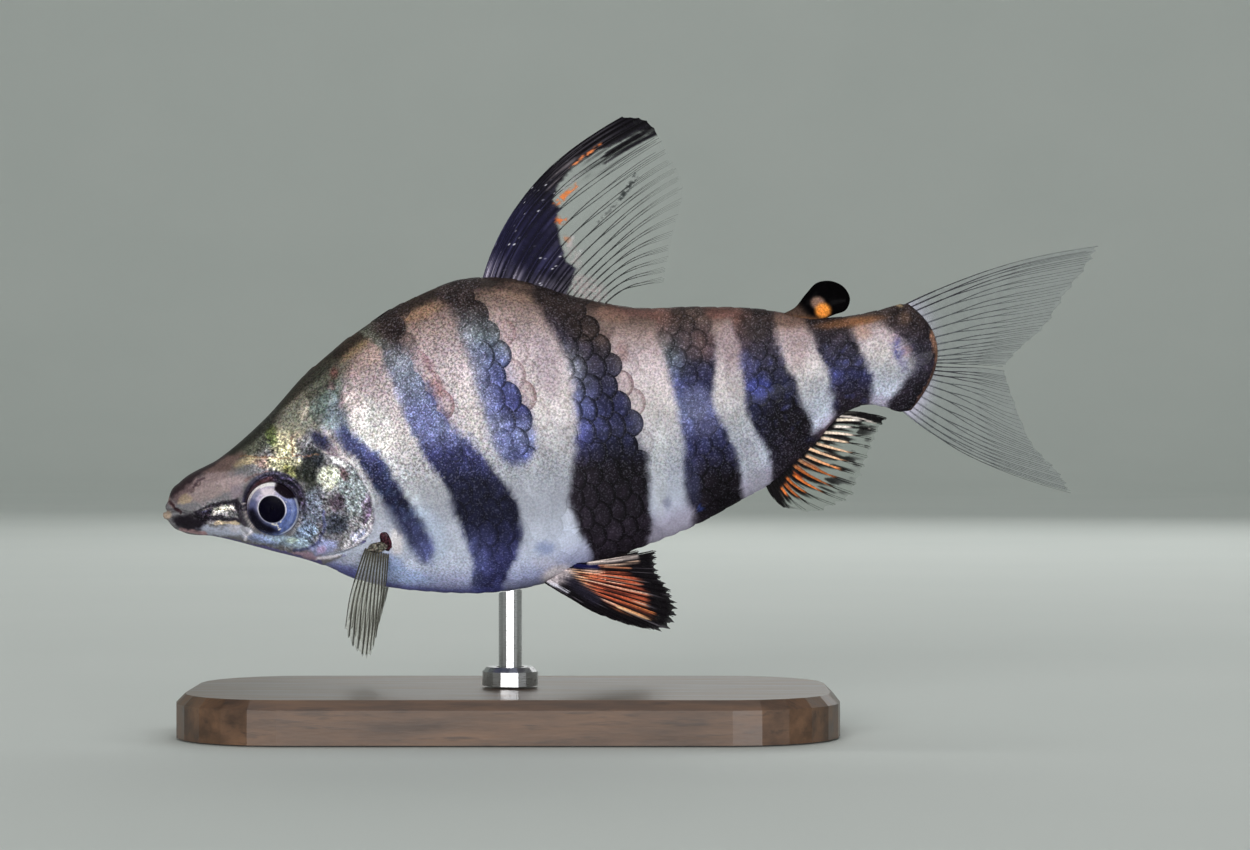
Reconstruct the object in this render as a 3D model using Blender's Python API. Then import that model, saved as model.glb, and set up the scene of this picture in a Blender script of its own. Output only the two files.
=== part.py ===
"""Marbled headstander (Abramites), a life-size still model of a live fish on a plain display stand.

Design sizes are in millimetres and are turned into metres when a mesh is made.
The fish is drawn in its own frame: s runs back from the snout along the body axis, h is up from that
axis and y is sideways, with the left side of the fish at minus y. The frame is then pitched head down
and set over the stand. The world origin is the middle of the stand's underside, with +Z up.
"""

import math

import bmesh
import bpy
import numpy as np
from mathutils import Vector

MM = 0.001

# Pose and place of the fish over the stand
PITCH = math.radians(11.7)  # the head points down by this much
SNOUT_HEIGHT = 28.1  # height of the snout's reference point above the floor
SNOUT_AHEAD = 44.5  # how far the snout reaches ahead of the rod
GAP = 0.3  # clearance kept between touching nodes

# Body outline from the side, as (s, h), for a standard length of 100
BACK_LINE = [
    (0, -0.1), (0.4, 0.4), (0.8, 1.5), (1.3, 2.4), (2.7, 3.4), (8.4, 5.4), (15, 9.1), (22, 14.2), (28.4, 17.6),
    (35, 20.1), (43.5, 21.6), (49.5, 20.5), (57.5, 16.4), (64, 13.7), (73, 11.9), (80, 10.2),
    (87, 7.6), (91.5, 6.85), (98.6, 7.1),
]
BELLY_LINE = [
    (0, -0.7), (0.6, -2.0), (1.7, -2.95), (5.5, -4.3), (12.3, -7.6), (18, -10.5), (21.6, -13.0),
    (25.5, -15.1), (32, -17.2), (39, -18.7), (44, -19.0), (49.5, -18.5), (59, -17.0), (66, -15.7),
    (73.5, -13.4), (77, -12.3), (83, -8.9), (88.5, -5.2), (91.5, -4.8), (96, -6.5), (98.6, -7.0),
]
# Half the body's width, as (s, width)
HALF_WIDTHS = [
    (0, 0.9), (0.6, 1.75), (1.4, 2.3), (2.7, 2.85), (5.5, 3.6), (9, 4.45), (13, 5.3), (18, 6.4),
    (24, 7.4), (32, 8.0), (42, 8.0), (52, 7.3), (62, 6.0), (72, 4.6), (82, 3.3), (91.5, 2.3),
    (95, 1.9), (98.6, 0.9),
]
# Powers of the half sections above and below the widest line: 2 is an ellipse, less is a keel
BACK_POWERS = [(0, 2.1), (12, 2.2), (22, 1.95), (35, 1.75), (60, 1.8), (98.6, 2.0)]
BELLY_POWERS = [(0, 2.1), (12, 2.15), (25, 2.1), (42, 2.15), (56, 1.75), (75, 1.6), (90, 1.9), (98.6, 2.0)]
WIDEST_SHARE = 0.48  # the widest line's place between belly and back
TAIL_END = 97.4  # the last section, before the arc of the tail base bulges it back
TAIL_ARC = (3.8, 1.2, -3.8)  # bulge of the tail base: middle, slope and fall towards its rims
TAIL_ARC_FROM = 90.0  # the bulge starts here and grows towards the last section
TAIL_ARC_EASE = 1.5  # how slowly the bulge starts
BODY_SECTIONS = 54
BODY_SIDES = 28
SNOUT_SECTIONS = (0, 0.3, 0.8, 1.5)  # closer sections where the snout rounds off
SNOUT_SECTIONS_TO = 2.0
CROWDING = 0.45  # how much closer the other sections stand towards both ends
END_LENGTH = 2.0  # a grown body's ends move outwards over this length

# Cutters reach past the body by these limits, as s, h and y
CUT_AHEAD = -8.0
CUT_BEHIND = 130.0
CUT_HEIGHT = 20.0
CUT_SIDE = 14.0
MITRE_LIMIT = 0.4  # least share used where a grown outline turns sharply
SKIN_STEP = 0.5  # half the distance over which the skin's slope is measured

# Curves where the body is parted into head, trunk and tail stalk, as (s, h): down the nape, along the
# gill cover's rear edge and down the throat. The lower jaw is parted along its own outline.
NAPE_CURVE = [(20.4, 18), (20.9, 13), (21.5, 7.5), (22.3, 3.2)]
COVER_REAR = [
    (22.3, 3.2), (24.7, 1.8), (26.2, -0.9), (26.95, -4.1), (26.65, -6.7), (25.3, -8.4), (23.1, -9.3),
    (20.6, -9.75), (18.7, -9.6),
]
THROAT_CURVE = [(18.7, -9.6), (17.6, -11.0), (17.2, -15)]
JAW_OUTLINE = [(-2, -0.02), (1.9, -0.06), (3.5, -0.85), (4.4, -1.9), (4.4, -3.0), (3.9, -6), (-2, -6)]
STALK_FROM = 89.6

# Gill cover: its front edge, a centre, its height over the cheek and its depth under it
COVER_FRONT = [(18.7, -9.6), (17.9, -8.0), (18.6, -5.2), (19.5, -2.0), (20.4, 1.2), (22.3, 3.2)]
COVER_CENTRE = (22.9, -3.6)
COVER_RISE = 0.45
COVER_DEPTH = 1.0
COVER_RINGS = (0.4, 0.75, 0.92, 1.0)
COVER_FREED_OVER = 5.0  # the cover rises from the cheek over this length
COVER_FRONT_SHARE = 0.25  # share of its rise that it already has at its front edge
COVER_ROUNDING = 0.55  # share of the rise that is lost at its rim
COVER_LEAST_HALF = 0.4  # its inner face stays this far from the middle plane
RECESS_RISE = 3.0  # the recess is cut open this far over the cheek

# Eye: a flattened ball set in a socket, with a low rim of skin around it
EYE_CENTRE = (13.97, -2.55)
EYE_RADIUS = 3.6
EYE_HALF_DEPTH = 2.2
EYE_BULGE = 0.75  # how far the cornea stands out of the cheek
RIM_RADIUS = 4.15
RIM_THICKNESS = 0.32

# Lips: (s of the front, h, thickness), each an arc that ends at the corners of the mouth
MOUTH_CORNER = 2.1
UPPER_LIP = (0.78, 0.64, 0.4)
LOWER_LIP = (0.22, -0.5, 0.42)
LIP_TAPER = 0.35  # share of the thickness that is lost towards the corners
LIP_SINK = 0.4  # share of the thickness that is sunk in the cheek at the corners
NOSTRILS = [(4.3, 2.1, 0.36), (5.2, 2.8, 0.42)]  # (s, h, radius)

# Fins, by guide rays given as (root, bend, tip), each (s, h, y). Rays between them are interpolated.
DORSAL_GUIDES = [
    ((46.3, 20.3, 0), (50.8, 32.1, 0), (69.4, 38.0, 0.5)),
    ((47.8, 19.8, 0), (52.9, 31.6, 0), (71.3, 35.9, 0.5)),
    ((52.0, 18.0, 0), (58.4, 27.1, 0), (73.2, 31.3, 0.6)),
    ((55.8, 16.0, 0), (62.1, 23.0, 0), (73.9, 27.2, 0.6)),
    ((58.4, 14.6, 0), (63.8, 19.7, 0), (71.0, 20.6, 0.4)),
    ((61.2, 13.2, 0), (64.6, 16.1, 0), (68.8, 14.9, 0.2)),
]
ANAL_GUIDES = [
    ((76.8, -11.9, 0), (77.3, -14.8, 0), (78.5, -15.7, 0)),
    ((77.6, -11.5, 0), (78.8, -14.8, 0), (81.0, -16.5, 0.1)),
    ((79.3, -10.7, 0), (81.6, -14.2, 0), (86.6, -18.4, 0.4)),
    ((81.2, -9.2, 0), (84.0, -12.1, 0), (89.2, -15.8, 0.4)),
    ((83.4, -7.4, 0), (86.2, -9.6, 0), (91.3, -11.7, 0.3)),
    ((85.9, -5.3, 0), (88.6, -7.0, 0), (92.6, -9.0, 0.3)),
    ((87.9, -3.7, 0), (90.9, -5.6, 0), (93.8, -7.2, 0.2)),
]
TAIL_UPPER_GUIDES = [
    ((96.5, 6.3, 0), (109.6, 10.4, 0.2), (125.2, 9.4, 1.2)),
    ((97.4, 5.1, 0), (110.4, 8.4, 0.2), (123.9, 7.7, 1.1)),
    ((98.3, 3.2, 0), (110.0, 5.0, 0.2), (119.8, 4.1, 0.9)),
    ((98.9, 1.2, 0), (108.4, 1.6, 0.1), (116.0, 0.4, 0.7)),
    ((99.0, -0.3, 0), (106.6, -0.9, 0.1), (112.4, -1.6, 0.5)),
    ((99.0, -0.8, 0), (105.6, -1.9, 0.1), (109.7, -3.3, 0.4)),
]
TAIL_LOWER_GUIDES = [
    ((98.9, -1.4, 0), (105.3, -2.9, 0.1), (109.6, -4.0, 0.4)),
    ((98.6, -2.2, 0), (105.4, -4.9, 0.1), (110.0, -7.0, 0.5)),
    ((97.8, -3.6, 0), (104.7, -8.6, 0.2), (111.3, -13.9, 0.8)),
    ((96.4, -5.1, 0), (102.9, -12.6, 0.2), (114.0, -18.2, 1.1)),
    ((95.2, -6.0, 0), (101.6, -14.8, 0.2), (115.3, -21.5, 1.2)),
]
# Paired fins are drawn for the left side with y counted outwards from the middle plane
PECTORAL_GUIDES = [
    ((25.0, -9.4, 5.6), (22.4, -13.2, 8.2), (20.4, -18.8, 9.4)),
    ((25.4, -9.6, 5.6), (22.7, -15.0, 8.5), (20.9, -21.2, 9.8)),
    ((25.9, -9.9, 5.6), (23.6, -16.2, 8.5), (21.9, -23.0, 9.8)),
    ((26.5, -10.2, 5.6), (24.7, -16.2, 8.4), (23.0, -23.1, 9.6)),
    ((27.1, -10.5, 5.6), (26.0, -15.3, 8.2), (24.2, -20.8, 9.2)),
    ((27.6, -10.8, 5.6), (26.9, -14.2, 8.0), (25.7, -17.2, 8.8)),
]
PECTORAL_LOBE = (27.2, -9.7, 6.2)  # centre of the fleshy base
PECTORAL_LOBE_RADII = (1.15, 1.9, 0.75)
PELVIC_GUIDES = [
    ((46.3, -17.4, 1.9), (51.6, -22.9, 4.6), (59.8, -28.3, 7.4)),
    ((47.4, -17.0, 1.9), (54.0, -21.4, 5.2), (62.2, -25.8, 8.2)),
    ((48.5, -16.6, 2.0), (55.0, -19.5, 5.6), (61.6, -22.6, 8.6)),
    ((49.6, -16.1, 2.2), (55.6, -17.4, 5.9), (61.3, -18.1, 8.6)),
]
# The right fins are held a little differently: how far tips swing back, down and outwards, as shares
# of their distance from the front root
RIGHT_PECTORAL_SWING = (-0.09, 0.02, -0.02)
RIGHT_PELVIC_SWING = (-0.17, -0.06, 0.30)

# Adipose fin: its outline, centre and half thickness
ADIPOSE_OUTLINE = [
    (82.6, 8.5), (84.9, 9.4), (86.6, 10.8), (88.3, 11.9), (90.2, 11.7), (91.7, 10.4), (92.0, 8.9),
    (91.2, 7.7), (89.6, 7.4), (88.2, 7.1), (86.5, 6.6), (84.0, 7.2),
]
ADIPOSE_CENTRE = (87.8, 9.2)
ADIPOSE_HALF_THICKNESS = 0.85
ADIPOSE_RIM = 0.25
ADIPOSE_RINGS = (0.45, 0.75, 0.93, 1.0)

# Fin make-up: rays, rows along each ray, half thickness of membrane and ray, and how far tips stand out
FIN_FORMS = {
    "dorsal_fin": dict(rays=12, rows=8, membrane=0.25, ray=0.46, notch=0.05),
    "anal_fin": dict(rays=12, rows=6, membrane=0.25, ray=0.44, notch=0.08),
    "tail_fin_upper": dict(rays=10, rows=8, membrane=0.25, ray=0.44, notch=0.04),
    "tail_fin_lower": dict(rays=9, rows=8, membrane=0.25, ray=0.44, notch=0.04),
    "pectoral_fin": dict(rays=10, rows=6, membrane=0.25, ray=0.40, notch=0.05),
    "pelvic_fin": dict(rays=9, rows=6, membrane=0.26, ray=0.44, notch=0.07),
}
RAY_WIDTH_SHARE = 0.24  # half a ray's width against the spacing of the rays
TIP_THINNING = 0.42  # share of the thickness that is lost towards the tip

# Display stand
BASE_LENGTH = 84.0
BASE_WIDTH = 44.0
BASE_HEIGHT = 5.5
BASE_CORNER = 14.0
BASE_EDGE = 1.2
ROD_RADIUS = 1.5
ROD_SIDES = 20
COLLAR_RADIUS = 3.6
COLLAR_HEIGHT = 2.4
COLLAR_CHAMFER = 0.6

# Finishes: colour, roughness and metallic
FINISHES = {
    "silver_skin": ((0.55, 0.56, 0.60), 0.38, 0.25),
    "barred_skin": ((0.32, 0.32, 0.42), 0.40, 0.20),
    "head_skin": ((0.48, 0.47, 0.40), 0.38, 0.25),
    "gill_cover": ((0.58, 0.58, 0.56), 0.32, 0.35),
    "eye": ((0.02, 0.02, 0.03), 0.08, 0.0),
    "dark_fin": ((0.05, 0.04, 0.06), 0.45, 0.0),
    "orange_fin": ((0.45, 0.16, 0.08), 0.45, 0.0),
    "clear_fin": ((0.50, 0.52, 0.50), 0.35, 0.0),
    "wood": ((0.16, 0.09, 0.05), 0.45, 0.0),
    "steel": ((0.60, 0.60, 0.61), 0.28, 1.0),
}


def smooth_line(points):
    """A smooth curve through (along, value) points, as a function of a number or an array."""
    xs, ys = np.array(points, float).T
    steps = np.diff(xs)
    slopes = np.diff(ys) / steps
    inner = (slopes[:-1] * steps[1:] + slopes[1:] * steps[:-1]) / (steps[:-1] + steps[1:])
    tangents = np.concatenate([slopes[:1], inner, slopes[-1:]])

    def value(x):
        x = np.clip(x, xs[0], xs[-1])
        i = np.clip(np.searchsorted(xs, x, side="right") - 1, 0, len(steps) - 1)
        t = (x - xs[i]) / steps[i]
        start = ys[i] * (1 + 2 * t) * (1 - t) ** 2 + tangents[i] * steps[i] * t * (1 - t) ** 2
        end = ys[i + 1] * t * t * (3 - 2 * t) - tangents[i + 1] * steps[i] * t * t * (1 - t)
        return start + end

    return value


back = smooth_line(BACK_LINE)
belly = smooth_line(BELLY_LINE)
half_width = smooth_line(HALF_WIDTHS)
back_power = smooth_line(BACK_POWERS)
belly_power = smooth_line(BELLY_POWERS)


def to_world(points):
    """Points of the fish's frame, as rows of (s, h, y) in millimetres, in world metres."""
    s, h, y = np.asarray(points, float).reshape(-1, 3).T
    x = s * math.cos(PITCH) - h * math.sin(PITCH) - SNOUT_AHEAD
    z = s * math.sin(PITCH) + h * math.cos(PITCH) + SNOUT_HEIGHT
    return np.stack([x, y, z], axis=1) * MM


def flank(s, h, grow=0.0):
    """Half the body's width at the place (s, h) seen from the side, or 0 outside the outline."""
    top, bottom = back(s) + grow, belly(s) - grow
    middle = bottom + WIDEST_SHARE * (top - bottom)
    above = h >= middle
    share = np.where(above, (h - middle) / (top - middle), (middle - h) / (middle - bottom))
    power = np.where(above, back_power(s), belly_power(s))
    return (half_width(s) + grow) * np.clip(1 - np.clip(share, 0, 1) ** power, 0, 1) ** (1 / power)


def make_object(name, points, faces, finish=None):
    """A mesh object from points already in world metres."""
    mesh = bpy.data.meshes.new(name)
    mesh.from_pydata([tuple(p) for p in points], [], [tuple(f) for f in faces])
    mesh.validate()
    obj = bpy.data.objects.new(name, mesh)
    bpy.context.scene.collection.objects.link(obj)
    face_outwards(mesh)
    if finish:
        set_finish(obj, finish)
    return obj


def face_outwards(mesh):
    shell = bmesh.new()
    shell.from_mesh(mesh)
    bmesh.ops.recalc_face_normals(shell, faces=shell.faces)
    if shell.calc_volume(signed=True) < 0:
        bmesh.ops.reverse_faces(shell, faces=shell.faces)
    shell.to_mesh(mesh)
    shell.free()


def set_finish(obj, finish):
    """Gives an object one of the named finishes and smooth shading with sharp edges."""
    material = bpy.data.materials.get(finish) or bpy.data.materials.new(finish)
    material.use_nodes = True
    colour, roughness, metallic = FINISHES[finish]
    shader = material.node_tree.nodes["Principled BSDF"]
    shader.inputs["Base Color"].default_value = (*colour, 1.0)
    shader.inputs["Roughness"].default_value = roughness
    shader.inputs["Metallic"].default_value = metallic
    obj.data.materials.clear()
    obj.data.materials.append(material)
    obj.data.shade_smooth()
    obj.data.set_sharp_from_angle(angle=math.radians(35))


def apply_boolean(obj, operation, others):
    """Applies one Boolean of obj with a collection of closed mesh objects, and removes those."""
    group = bpy.data.collections.new("operands")
    bpy.context.scene.collection.children.link(group)
    for other in others:
        group.objects.link(other)
    modifier = obj.modifiers.new("Boolean", "BOOLEAN")
    modifier.operation = operation
    modifier.solver = "EXACT"
    modifier.operand_type = "COLLECTION"
    modifier.collection = group
    graph = bpy.context.evaluated_depsgraph_get()
    mesh = bpy.data.meshes.new_from_object(obj.evaluated_get(graph))
    obj.modifiers.clear()
    obj.data = mesh
    for other in others:
        bpy.data.objects.remove(other)
    bpy.data.collections.remove(group)
    keep_largest(mesh)
    return obj


def keep_largest(mesh):
    """Drops all but the largest closed surface, such as a scrap that a cut leaves."""
    shell = bmesh.new()
    shell.from_mesh(mesh)
    left, groups = set(shell.verts), []
    while left:
        group, edge_of_group = set(), [left.pop()]
        while edge_of_group:
            vert = edge_of_group.pop()
            group.add(vert)
            for edge in vert.link_edges:
                other = edge.other_vert(vert)
                if other in left:
                    left.discard(other)
                    edge_of_group.append(other)
        groups.append(group)

    def spread(group):
        corners = np.array([v.co for v in group])
        return float(np.prod(np.ptp(corners, axis=0) + 1e-6))

    groups.sort(key=spread, reverse=True)
    bmesh.ops.delete(shell, geom=[v for group in groups[1:] for v in group], context="VERTS")
    shell.to_mesh(mesh)
    shell.free()


def grid_faces(rows, columns, closed=False):
    """Quads between the points of a grid stored row by row, closed around its columns if asked."""
    across = columns if closed else columns - 1
    return [
        (r * columns + c, r * columns + (c + 1) % columns, (r + 1) * columns + (c + 1) % columns, (r + 1) * columns + c)
        for r in range(rows - 1)
        for c in range(across)
    ]


def body_shell(grow=0.0):
    """The whole body from snout to tail base, grown outwards by grow, as world points and faces."""
    share = np.linspace(0, 1, BODY_SECTIONS)
    stations = TAIL_END * ((1 - CROWDING) * share + CROWDING * (3 * share**2 - 2 * share**3))
    stations = np.concatenate([SNOUT_SECTIONS, stations[stations > SNOUT_SECTIONS_TO]])
    angles = 2 * math.pi * np.arange(BODY_SIDES) / BODY_SIDES
    points = []
    for s in stations:
        top, bottom, wide = back(s) + grow, belly(s) - grow, half_width(s) + grow
        middle = bottom + WIDEST_SHARE * (top - bottom)
        rear_end = np.clip(1 - (TAIL_END - s) / END_LENGTH, 0, 1)
        front_end = np.clip(1 - s / END_LENGTH, 0, 1)
        bulge = np.clip((s - TAIL_ARC_FROM) / (TAIL_END - TAIL_ARC_FROM), 0, 1) ** TAIL_ARC_EASE
        for angle in angles:
            up, out = math.sin(angle), math.cos(angle)
            power = back_power(s) if up >= 0 else belly_power(s)
            reach = top - middle if up >= 0 else middle - bottom
            rise = math.copysign(abs(up) ** (2 / power), up)
            level = (middle + reach * rise - (top + bottom) / 2) / ((top - bottom) / 2)
            arc = TAIL_ARC[0] + TAIL_ARC[1] * level + TAIL_ARC[2] * level**2
            side = wide * math.copysign(abs(out) ** (2 / power), out)
            points.append((s + grow * (rear_end - front_end) + bulge * arc, middle + reach * rise, side))
    faces = grid_faces(len(stations), BODY_SIDES, closed=True)
    last = (len(stations) - 1) * BODY_SIDES
    faces.append(tuple(range(BODY_SIDES)))
    faces.append(tuple(range(last, last + BODY_SIDES)))
    return to_world(points), faces


def body_object(name, grow=0.0, finish=None):
    return make_object(name, *body_shell(grow), finish)


def side_prism(name, outline):
    """A prism right through the fish, with an outline given as (s, h) points."""
    points = [(s, h, -CUT_SIDE) for s, h in outline] + [(s, h, CUT_SIDE) for s, h in outline]
    count = len(outline)
    faces = grid_faces(2, count, closed=True) + [tuple(range(count)), tuple(range(count, 2 * count))]
    return make_object(name, to_world(points), faces)


def grown_outline(outline, grow):
    """A closed outline moved outwards by grow, with mitred corners."""
    points = [Vector(p) for p in outline]
    area = sum(a.x * b.y - b.x * a.y for a, b in zip(points, points[1:] + points[:1]))
    turn = 1 if area > 0 else -1
    grown = []
    for i, point in enumerate(points):
        before = (point - points[i - 1]).normalized()
        after = (points[(i + 1) % len(points)] - point).normalized()
        normals = [Vector((d.y, -d.x)) * turn for d in (before, after)]
        bisector = (normals[0] + normals[1]).normalized()
        grown.append(tuple(point + bisector * grow / max(MITRE_LIMIT, bisector.dot(normals[0]))))
    return grown


def along(points, count):
    """A smooth open curve through the points, given again as count points."""
    points = np.array(points, float)
    lengths = np.concatenate([[0], np.cumsum(np.linalg.norm(np.diff(points, axis=0), axis=1))])
    places = np.linspace(0, lengths[-1], count)
    axes = [smooth_line(list(zip(lengths, values)))(places) for values in points.T]
    return list(zip(*[axis.tolist() for axis in axes]))


def around(points, count):
    """A smooth closed curve through the points, given again as count points."""
    wrapped = [*points[-3:], *points, *points[:3]]
    steps = np.linalg.norm(np.diff(np.array(wrapped, float), axis=0), axis=1)
    lengths = np.concatenate([[0], np.cumsum(steps)])
    places = np.linspace(lengths[3], lengths[3 + len(points)], count, endpoint=False)
    axes = [smooth_line(list(zip(lengths, values)))(places) for values in zip(*wrapped)]
    return list(zip(*[axis.tolist() for axis in axes]))


def head_outline():
    """The region of the head with its jaw and gill covers."""
    rear = along(NAPE_CURVE, 5)[:-1] + along(COVER_REAR, 18)[:-1] + along(THROAT_CURVE, 4)
    return [(CUT_AHEAD, rear[0][1]), *rear, (CUT_AHEAD, rear[-1][1])]


def stalk_outline(start):
    """The region of the tail stalk, from start backwards."""
    return [(start, CUT_HEIGHT), (CUT_BEHIND, CUT_HEIGHT), (CUT_BEHIND, -CUT_HEIGHT), (start, -CUT_HEIGHT)]


def cover_outline():
    return along(COVER_REAR, 18)[:-1] + along(COVER_FRONT, 11)[:-1]


def ellipsoid(name, centre, radii, axes, segments=20, rings=12):
    """An ellipsoid in the fish's frame, with its poles along the third of the given axes."""
    points = [np.array(centre) + axes[2] * radii[2]]
    for r in range(1, rings):
        down = math.pi * r / rings
        for c in range(segments):
            turn = 2 * math.pi * c / segments
            local = (math.sin(down) * math.cos(turn), math.sin(down) * math.sin(turn), math.cos(down))
            points.append(np.array(centre) + sum(a * q * x for a, q, x in zip(axes, radii, local)))
    points.append(np.array(centre) - axes[2] * radii[2])
    faces = [tuple(1 + i for i in face) for face in grid_faces(rings - 1, segments, closed=True)]
    end = len(points) - 1
    faces += [(0, 1 + (c + 1) % segments, 1 + c) for c in range(segments)]
    faces += [(end, end - segments + c, end - segments + (c + 1) % segments) for c in range(segments)]
    return make_object(name, to_world(points), faces)


def skin_frame(s, h, side):
    """Unit axes on the flank at (s, h): along the body, up the flank, and out of the skin."""
    step = SKIN_STEP
    along = np.array([2 * step, 0, side * (flank(s + step, h) - flank(s - step, h))])
    up = np.array([0, 2 * step, side * (flank(s, h + step) - flank(s, h - step))])
    out = np.cross(along, up)
    out *= math.copysign(1, out[2] * side)
    along /= np.linalg.norm(along)
    out /= np.linalg.norm(out)
    return along, np.cross(out, along), out


def eye_ball(name, side, grow=0.0):
    s, h = EYE_CENTRE
    axes = skin_frame(s, h, side)
    centre = np.array([s, h, side * float(flank(s, h))]) + axes[2] * (EYE_BULGE - EYE_HALF_DEPTH)
    radii = (EYE_RADIUS + grow, EYE_RADIUS + grow, EYE_HALF_DEPTH + grow)
    return ellipsoid(name, centre, radii, axes, segments=22, rings=10)


def tube(name, path, radii, across, sides=6, closed=False):
    """A tube of changing radius along a path that never runs along the direction across."""
    path = np.array(path, float)
    count = len(path)
    if closed:
        tangents = np.roll(path, -1, axis=0) - np.roll(path, 1, axis=0)
    else:
        tangents = np.gradient(path, axis=0)
    points = []
    for i in range(count):
        forward = tangents[i] / np.linalg.norm(tangents[i])
        first = np.cross(forward, across)
        first /= np.linalg.norm(first)
        second = np.cross(forward, first)
        for k in range(sides):
            turn = 2 * math.pi * k / sides
            points.append(path[i] + radii[i] * (math.cos(turn) * first + math.sin(turn) * second))
    if closed:
        points += points[:sides]
        faces = [tuple(i % (count * sides) for i in face) for face in grid_faces(count + 1, sides, closed=True)]
        points = points[: count * sides]
    else:
        faces = grid_faces(count, sides, closed=True)
        faces += [tuple(range(sides)), tuple(range((count - 1) * sides, count * sides))]
    return make_object(name, to_world(points), faces)


def eye_rim(side):
    """The low ring of skin around the eye, laid on the cheek."""
    path = []
    for turn in np.linspace(0, 2 * math.pi, 24, endpoint=False):
        s = EYE_CENTRE[0] + RIM_RADIUS * math.cos(turn)
        h = EYE_CENTRE[1] + RIM_RADIUS * math.sin(turn)
        path.append((s, h, side * float(flank(s, h))))
    return tube("eye_rim", path, [RIM_THICKNESS] * len(path), across=(0, 0, 1), closed=True)


def lip(front, height, thickness):
    """A lip from one corner of the mouth round the snout's front to the other."""
    reach = float(flank(MOUTH_CORNER, height))
    path, radii = [], []
    for turn in np.radians(np.linspace(-90, 90, 13)):
        s = front + (MOUTH_CORNER - front) * (1 - math.cos(turn))
        path.append((s, height, (reach - LIP_SINK * thickness) * math.sin(turn)))
        radii.append(thickness * (1 - LIP_TAPER + LIP_TAPER * math.sqrt(abs(math.cos(turn)))))
    return tube("lip", path, radii, across=(0, 1, 0), sides=8)


def fan_solid(name, outline, centre, rings, surface_at, finish=None):
    """A closed plate about a centre: surface_at gives the outer and inner y at (s, h, share of the way out)."""
    outline, centre = np.array(outline), np.array(centre)
    places = [(*centre, 0.0)]
    for share in rings:
        places += [(*(centre + (point - centre) * share), share) for point in outline]
    outer = [(s, h, surface_at(s, h, share)[0]) for s, h, share in places]
    inner = [(s, h, surface_at(s, h, share)[1]) for s, h, share in places]
    count, shift = len(outline), len(outer)
    faces = [(0, 1 + (c + 1) % count, 1 + c) for c in range(count)]
    faces += [tuple(1 + i for i in face) for face in grid_faces(len(rings), count, closed=True)]
    faces += [tuple(shift + i for i in reversed(face)) for face in faces]
    rim = 1 + (len(rings) - 1) * count
    for c in range(count):
        after = (c + 1) % count
        faces.append((rim + c, rim + after, shift + rim + after, shift + rim + c))
    return make_object(name, to_world(outer + inner), faces, finish)


def gill_cover(name, side, grow=0.0, rise=COVER_RISE, depth=COVER_DEPTH):
    """The plate of a gill cover, which follows the cheek and stands out most at its free rear edge."""
    def surface_at(s, h, share):
        freed = np.clip((s - COVER_FRONT[1][0]) / COVER_FREED_OVER, COVER_FRONT_SHARE, 1)
        rounded = 1 - COVER_ROUNDING * max(0.0, (share - COVER_RINGS[-2]) / (1 - COVER_RINGS[-2]))
        base = float(flank(s, h))
        return side * (base + rise * freed * rounded), side * max(base - depth, COVER_LEAST_HALF)

    outline = cover_outline()
    return fan_solid(name, grown_outline(outline, grow) if grow else outline, COVER_CENTRE, COVER_RINGS, surface_at)


def interpolate_guides(guides, shares):
    """Guide rays, each three points, interpolated smoothly at the given shares of the fin."""
    places = np.linspace(0, 1, len(guides))
    flat = np.array(guides, float).reshape(len(guides), 9)
    lines = [smooth_line(list(zip(places, flat[:, k]))) for k in range(9)]
    return np.stack([line(np.asarray(shares)) for line in lines], axis=1).reshape(-1, 3, 3)


def ray_point(root, bend, tip, t):
    """A point of a ray: a quadratic curve from root to tip."""
    return root * (1 - t) ** 2 + bend * 2 * t * (1 - t) + tip * t * t


def thin_solid(name, middle, half, finish):
    """A closed sheet: the middle surface, as rows and columns of points, thickened by half each way.

    Both faces are split into triangles along the same diagonals, so that they never cross.
    """
    rows, columns = middle.shape[:2]
    along = np.gradient(middle, axis=0)
    across = np.gradient(middle, axis=1)
    normal = np.cross(along, across)
    normal /= np.linalg.norm(normal, axis=2, keepdims=True)
    front = (middle + normal * half[..., None]).reshape(-1, 3)
    rear = (middle - normal * half[..., None]).reshape(-1, 3)
    shift = rows * columns
    faces = []
    for a, b, c, d in grid_faces(rows, columns):
        faces += [(a, b, c), (a, c, d), (shift + a, shift + c, shift + b), (shift + a, shift + d, shift + c)]
    loop = list(range(columns)) + [r * columns + columns - 1 for r in range(1, rows)]
    loop += [shift - 2 - c for c in range(columns - 1)] + [r * columns for r in range(rows - 2, 0, -1)]
    for a, b in zip(loop, loop[1:] + loop[:1]):
        faces += [(a, b, shift + b), (a, shift + b, shift + a)]
    return make_object(name, to_world(np.concatenate([front, rear])), faces, finish)


def ray_columns(rays):
    """Shares across a fin for each ray's two flanks and crest, and which of them are crests."""
    spacing = 1 / (rays - 1 + 2 * RAY_WIDTH_SHARE)
    shares, crests = [], []
    for ray in range(rays):
        centre = (ray + RAY_WIDTH_SHARE) * spacing
        for offset in (-RAY_WIDTH_SHARE, 0.0, RAY_WIDTH_SHARE):
            shares.append(centre + offset * spacing)
            crests.append(offset == 0.0)
    return np.clip(shares, 0, 1), np.array(crests)


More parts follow.
